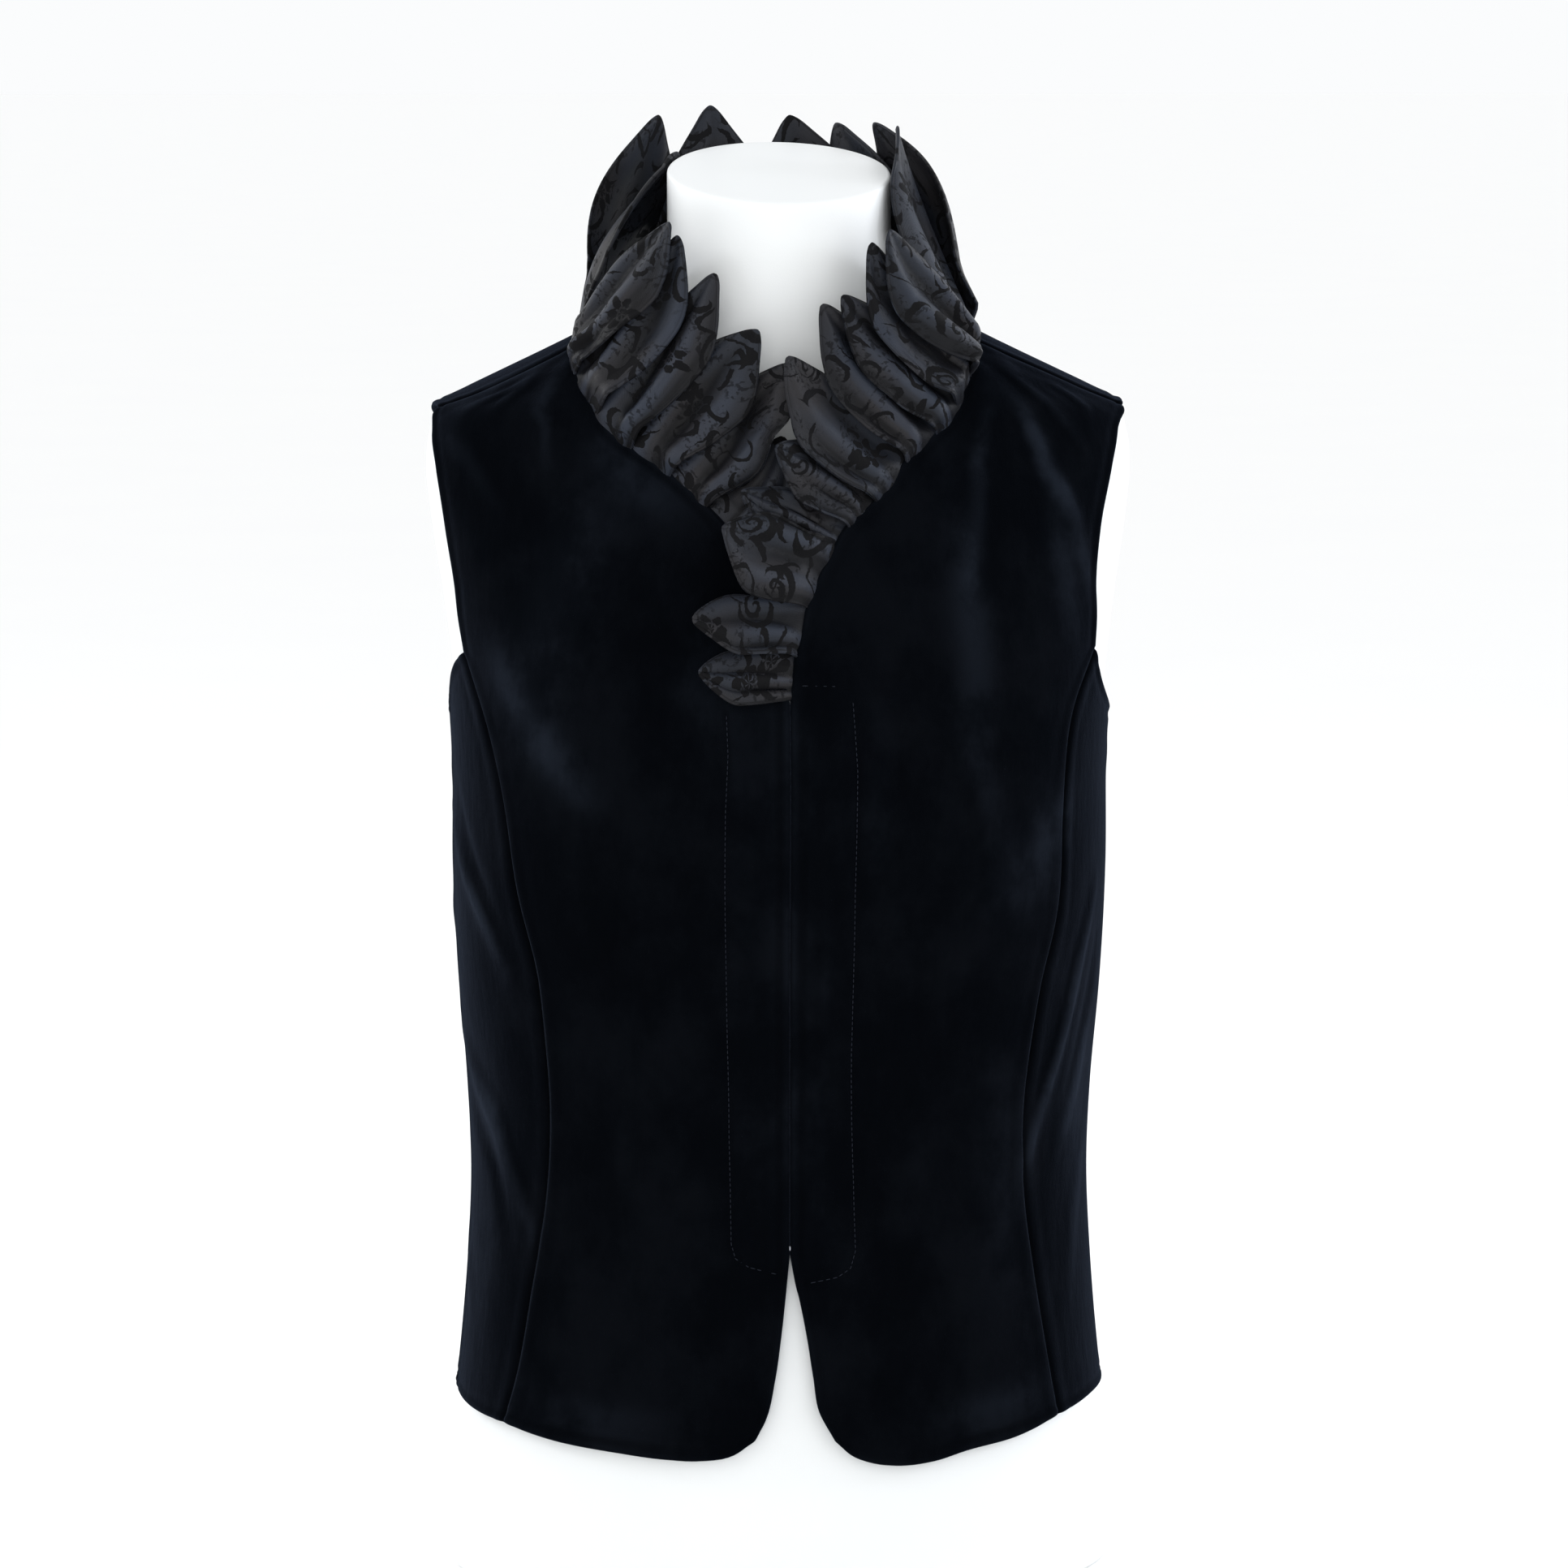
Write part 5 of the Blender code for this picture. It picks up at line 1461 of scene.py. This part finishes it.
    def build(self) -> list[bpy.types.Object]:
        """Builds the leaves, the undermost first.

        Returns:
            The leaves.
        """
        neckline = Neckline(self.torso)
        feet = neckline.feet()
        across, along = self.spacing()
        below: list[Array] = []
        made = []
        for leaf, first, last in sorted(zip(LEAVES, feet[:-1], feet[1:]), key=lambda row: row[0].layer):
            shape = self.shape(leaf, neckline, first, last)
            middle = self.laid_over(shape, below)
            across_way, up_way = np.gradient(middle, axis=1), np.gradient(middle, axis=0)
            normal = np.cross(across_way, up_way)
            normal = normal * np.sign(np.sum(normal * shape.face, axis=-1, keepdims=True))
            normal = normal / np.maximum(np.linalg.norm(normal, axis=-1, keepdims=True), 1e-9)
            edge = np.minimum(shape.half * (1 - np.abs(across))[None], (shape.reach * (1 - along))[:, None] * 0.7)
            wall = LEAF_WALL / 2 * np.sqrt(1 - (1 - np.clip(edge / 0.9, 0.05, 1.0)) ** 2)
            wall = wall - 0.24 * bell(edge - self.seam_inset, 0.42) + 0.2 * (1 - np.exp(-edge / 4.0))
            outer = middle + normal * wall[..., None]
            inner = middle - normal * wall[..., None]
            turn = math.radians(leaf.weave_turn)
            flat = np.stack([shape.half * across[None], shape.reach * along[:, None] + 0 * shape.half], axis=-1)
            turned = flat @ np.array([[math.cos(turn), math.sin(turn)], [-math.sin(turn), math.cos(turn)]])
            uv = (turned + (leaf.weave_turn * 3.7, leaf.foot_angle * 2.3)) * MM
            right_handed = np.cross(shape.side, shape.straight) @ shape.face > 0
            piece = add_shell("damask_" + leaf.name, outer, inner, uv, edge, not right_handed, shape.fold)
            dress(piece, self.damask, "charcoal_damask_satin", leaf.name)
            cells = np.linalg.norm(np.cross(np.diff(middle, axis=1)[:-1], np.diff(middle, axis=0)[:, :-1]), axis=-1)
            area = float(cells.sum()) * MM ** 2
            width, length = 2 * float(shape.half.max()) * MM, shape.reach * MM * 1.08
            area = min(area, width * length)
            LOG.info("%s: %.0f x %.0f mm", piece.name, width / MM, length / MM)
            below.append(outer[::2, ::2].reshape(-1, 3))
            made.append(piece)
        return made


@dataclass(frozen=True)
class DressForm:
    """The limbless form: one smooth turned body with a level foot and a sloping neck cap."""
    torso: Torso
    shell: bpy.types.Material
    columns: int = 160
    edge: float = 2.0
    shoulder: float = 560.0
    neck_foot: float = 700.0

    def build(self) -> bpy.types.Object:
        """Builds the form from rings.

        Each ring is the cloth surface moved in by the wall and the ease. Above the neck's foot
        the rings are circles, and the cap slopes down to the front.

        Returns:
            The form.
        """
        angles = np.linspace(0.0, 360.0, self.columns, endpoint=False)
        ease = np.array(FORM_EASE)
        heights = np.concatenate([np.arange(6, self.shoulder, 9.0), np.arange(self.shoulder, self.neck_foot, 4.0)])
        grid_angles, grid_heights = np.meshgrid(angles, heights)
        room = VELVET_WALL + np.interp(grid_heights, ease[:, 0], ease[:, 1])
        body = self.torso.smooth(grid_angles, grid_heights) - self.torso.normal(
            grid_angles, grid_heights) * room[..., None]
        foot = self.torso.smooth(angles, np.zeros_like(angles))
        foot = foot * (1 - (room[0] / np.linalg.norm(foot, axis=1))[:, None])
        steps = np.linspace(0.0, np.pi / 2, 5)
        rings = [foot * 0.001]
        rings += [foot * (1 - self.edge * (1 - math.sin(s)) / 150.0) + (0, 0, self.edge * (1 - math.cos(s)))
                  for s in steps]
        rings += list(body)
        turn = np.radians(angles)
        rim = np.stack([np.sin(turn), -np.cos(turn)], axis=1)

        def neck_ring(radius: float, drop: float) -> Array:
            """A ring of the neck block, below its sloping cap by the drop."""
            level = CAP_HEIGHT + CAP_SLOPE * radius * rim[:, 1:] - drop
            return np.hstack([radius * rim, level])

        top = neck_ring(NECK_RADIUS, self.edge)
        for share in (0.25, 0.5, 0.75, 1.0):
            level = self.neck_foot + (top[:, 2:] - self.neck_foot) * share
            rings.append(np.hstack([NECK_RADIUS * rim, level]))
        rings += [neck_ring(NECK_RADIUS - self.edge * (1 - math.cos(s)), self.edge * (1 - math.sin(s)))
                  for s in steps[1:]]
        rings += [neck_ring(radius, 0.0) for radius in (50.0, 30.0, 10.0, 0.05)]
        points = np.concatenate(rings)
        piece = link_mesh("form_shell", points, tube_quads(len(rings), self.columns))
        return dress(piece, self.shell, "white_form_shell", "dress_form")


@dataclass(frozen=True)
class Stitching:
    """Rows of small lockstitches that lie in the sunk line of the placket."""
    torso: Torso
    thread: bpy.types.Material
    pitch: float = 2.8
    length: float = 2.1
    thick: float = 0.26
    arch: float = 0.22
    sides: int = 6

    def build(self, name: str, path: tuple[Place, ...], lift: float = -0.35) -> bpy.types.Object:
        """Builds one row of stitches.

        Each stitch is a tube whose radius follows a half sine and whose middle arches out, so
        that both ends sink into the pile.

        Args:
            name: Name of the piece.
            path: Places that the row follows.
            lift: Millimetres out from the cloth.

        Returns:
            The row.
        """
        places = np.array(path, dtype=float)
        spots = places * (MM_PER_DEGREE, 1.0)
        run = run_lengths(spots)
        starts = np.arange(0.0, run[-1] - self.length, self.pitch)
        part = np.linspace(0.0, 1.0, 6)
        angle, height = np.moveaxis(along_row(starts[:, None] + part[None] * self.length, run, places), -1, 0)
        arch = lift + self.arch * np.sin(np.pi * part)[None]
        middle = self.torso.cloth(angle, height, arch + 0.0 * angle)
        normal = self.torso.normal(angle, height)
        along = unit(np.gradient(middle, axis=1))
        aside = unit(np.cross(along, normal))
        turn = np.linspace(0.0, 2 * np.pi, self.sides, endpoint=False)
        radius = self.thick * np.sqrt(np.clip(np.sin(np.pi * (0.04 + 0.92 * part)), 0.02, 1.0))
        ring = (np.cos(turn)[:, None] * aside[:, :, None] + np.sin(turn)[:, None] * normal[:, :, None])
        points = middle[:, :, None] + ring * radius[None, :, None, None]
        count, rings, sides = points.shape[:3]
        index = np.arange(count * rings * sides).reshape(count, rings, sides)
        after = np.roll(index, -1, axis=2)
        quads = np.stack([index[:, :-1], index[:, 1:], after[:, 1:], after[:, :-1]], axis=-1).reshape(-1, 4)
        ends = np.concatenate([index[:, 0][:, [0, 1, 2, 3]], index[:, 0][:, [0, 3, 4, 5]],
                               index[:, -1][:, [3, 2, 1, 0]], index[:, -1][:, [5, 4, 3, 0]]])
        piece = link_mesh(name, points.reshape(-1, 3), np.concatenate([quads, ends]))
        return dress(piece, self.thread)


@dataclass(frozen=True)
class ClosureEnd:
    """The foot of the zip at the top of the slit: its tape end and its metal stop."""
    torso: Torso
    metal: bpy.types.Material
    bright: bpy.types.Material
    sides: int = 24
    rings: int = 9

    def bead(self, name: str, place: Place, size: tuple[float, float, float], lift: float,
             finish: bpy.types.Material) -> bpy.types.Object:
        """Adds a rounded block.

        Its section is a rounded square, x and z to the power four, that swells and closes
        along its depth as a half circle.

        Args:
            name: Name of the piece.
            place: Where it sits.
            size: Width, depth and height in millimetres.
            lift: Millimetres out from the cloth.
            finish: Its material.

        Returns:
            The block.
        """
        turn = np.linspace(0.0, 2 * np.pi, self.sides, endpoint=False)[None]
        rise = np.linspace(-0.5, 0.5, self.rings)[:, None] * np.pi
        swell = np.maximum(np.cos(rise), 0.02) ** 0.5
        squared = [np.sign(part) * np.abs(part) ** 0.5 for part in (np.cos(turn), np.sin(turn))]
        spot = self.torso.cloth(np.array([place.angle]), np.array([place.height]), lift)[0]
        points = np.stack([size[0] / 2 * squared[0] * swell, -size[1] / 2 * np.sin(rise) + 0 * turn,
                           size[2] / 2 * squared[1] * swell], axis=-1) + spot
        fan = np.array([[0, k, k + 1, k + 2] for k in range(1, self.sides - 2, 2)])
        last = (self.rings - 1) * self.sides
        quads = np.concatenate([tube_quads(self.rings, self.sides), fan[:, ::-1], fan + last])
        return dress(link_mesh(name, points.reshape(-1, 3), quads), finish)

    def build(self) -> None:
        """Builds the tape end and the stop."""
        self.bead("zip_tape_end", Place(-0.75, 190.0), (3.4, 1.6, 14.0), -1.6, self.metal)
        self.bead("zip_bottom_stop", Place(-0.75, 187.0), (1.8, 1.2, 2.6), -0.4, self.bright)


@dataclass(frozen=True)
class Studio:
    """A plain pale floor, soft lights and the photo's view."""
    distance: float = 3.0
    azimuth: float = -5.0
    elevation: float = 7.5
    target: tuple[float, float, float] = (0.0026, 0.0, 0.414)
    span: float = 0.83
    floor_reach: float = 80000.0
    floor_level: float = -0.2

    def floor(self) -> None:
        """Adds the floor, a wide square below the form's foot."""
        # Matt painted board: nearly white, so that only a soft contact shadow shows
        made = Shading("pale_floor")
        grain = made.add("TexNoise", "3D", made.add("TexCoord", output="Object"), Scale=3.0)
        tone = made.add("Mix", "RGBA", grain, A_Color=colour("fafafa"), B_Color=colour("fcfcfb"), output=2)
        far, level = self.floor_reach, self.floor_level
        corners = np.array([(-far, -far, level), (far, -far, level), (far, far, level), (-far, far, level)])
        plane = link_mesh("floor", corners, np.array([[0, 1, 2, 3]]))
        plane.data.materials.append(made.finish(Base_Color=tone, Roughness=0.9, Emission_Color=colour("ffffff"),
                                                Emission_Strength=0.03))
        plane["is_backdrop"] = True

    def light(self, name: str, place: tuple[float, float, float], size: float, power: float, tone: str) -> None:
        """Adds a soft square light that looks at the vest.

        Args:
            name: Name of the light.
            place: Position in metres.
            size: Side in metres.
            power: Watts.
            tone: Hex colour.
        """
        lamp = bpy.data.lights.new(name, "AREA")
        lamp.shape, lamp.size, lamp.energy, lamp.color = "SQUARE", size, power, colour(tone)[:3]
        made = bpy.data.objects.new(name, lamp)
        made.location = place
        away = Vector(place) - Vector(self.target)
        made.rotation_euler = away.to_track_quat("Z", "Y").to_euler()
        bpy.context.scene.collection.objects.link(made)

    def build(self) -> None:
        """Builds floor, lights, sky and camera."""
        self.floor()
        for name, place, size, power, tone in (
                ("key", (-1.6, -2.2, 2.1), 1.6, 8.0, "fffdfa"), ("fill", (2.0, -2.0, 1.3), 1.8, 7.0, "f4f7ff"),
                ("front", (-0.5, -2.9, 0.7), 1.2, 12.0, "ffffff"),
                ("rim_left", (-2.0, 1.0, 1.4), 1.2, 12.0, "ffffff"),
                ("rake_left", (-2.3, -0.5, 1.9), 0.5, 11.0, "f2f6ff"),
                ("rake_right", (2.4, -0.35, 1.2), 0.5, 12.0, "f2f6ff"),
                ("rim_right", (2.1, 0.8, 1.0), 1.2, 16.0, "eef3ff")):
            self.light(name, place, size, power, tone)
        world = bpy.data.worlds.new("pale_studio")
        world.use_nodes = True
        sky = world.node_tree.nodes["Background"].inputs
        sky["Color"].default_value, sky["Strength"].default_value = colour("fbfcfd"), 1.0
        bpy.context.scene.world = world
        bpy.context.scene.view_settings.view_transform = "Standard"
        side, rise = math.radians(self.azimuth), math.radians(self.elevation)
        back = Vector((math.sin(side) * math.cos(rise), -math.cos(side) * math.cos(rise), math.sin(rise)))
        view = bpy.data.cameras.new("photo_view")
        view.sensor_width = 36.0
        view.lens = view.sensor_width * self.distance / self.span
        camera = bpy.data.objects.new("photo_view", view)
        camera.location = Vector(self.target) + back * self.distance
        camera.rotation_euler = back.to_track_quat("Z", "Y").to_euler()
        bpy.context.scene.collection.objects.link(camera)
        bpy.context.scene.camera = camera


def write_sizes() -> None:
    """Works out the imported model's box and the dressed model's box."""
    boxes = {name: [list(corner) for corner in box] for name, box in (("cad", CAD_BOX), ("visual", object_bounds()))}


def main() -> None:
    """Builds every piece, then the studio."""
    logging.basicConfig(level=logging.INFO, format="%(message)s")
    torso = Torso()
    LOG.info("form: %d faces", len(DressForm(torso, FormShell().build()).build().data.polygons))
    VelvetVest(torso, Velvet().build()).build()
    LeafCollar(torso, Damask().build()).build()
    rows = Stitching(torso, Thread().build())
    for name, path in (("placket_stitches_right", RIGHT_PLACKET), ("placket_stitches_left", LEFT_PLACKET),
                       ("placket_tack_left", TOP_TACK)):
        rows.build(name, path)
    ClosureEnd(torso, ZipMetal("blackened_zip_metal", "24262b", 0.35).build(),
               ZipMetal("bright_zip_metal", "b9bcc2", 0.25).build()).build()
    Studio().build()
    write_sizes()


if __name__ == "__main__":
    main()
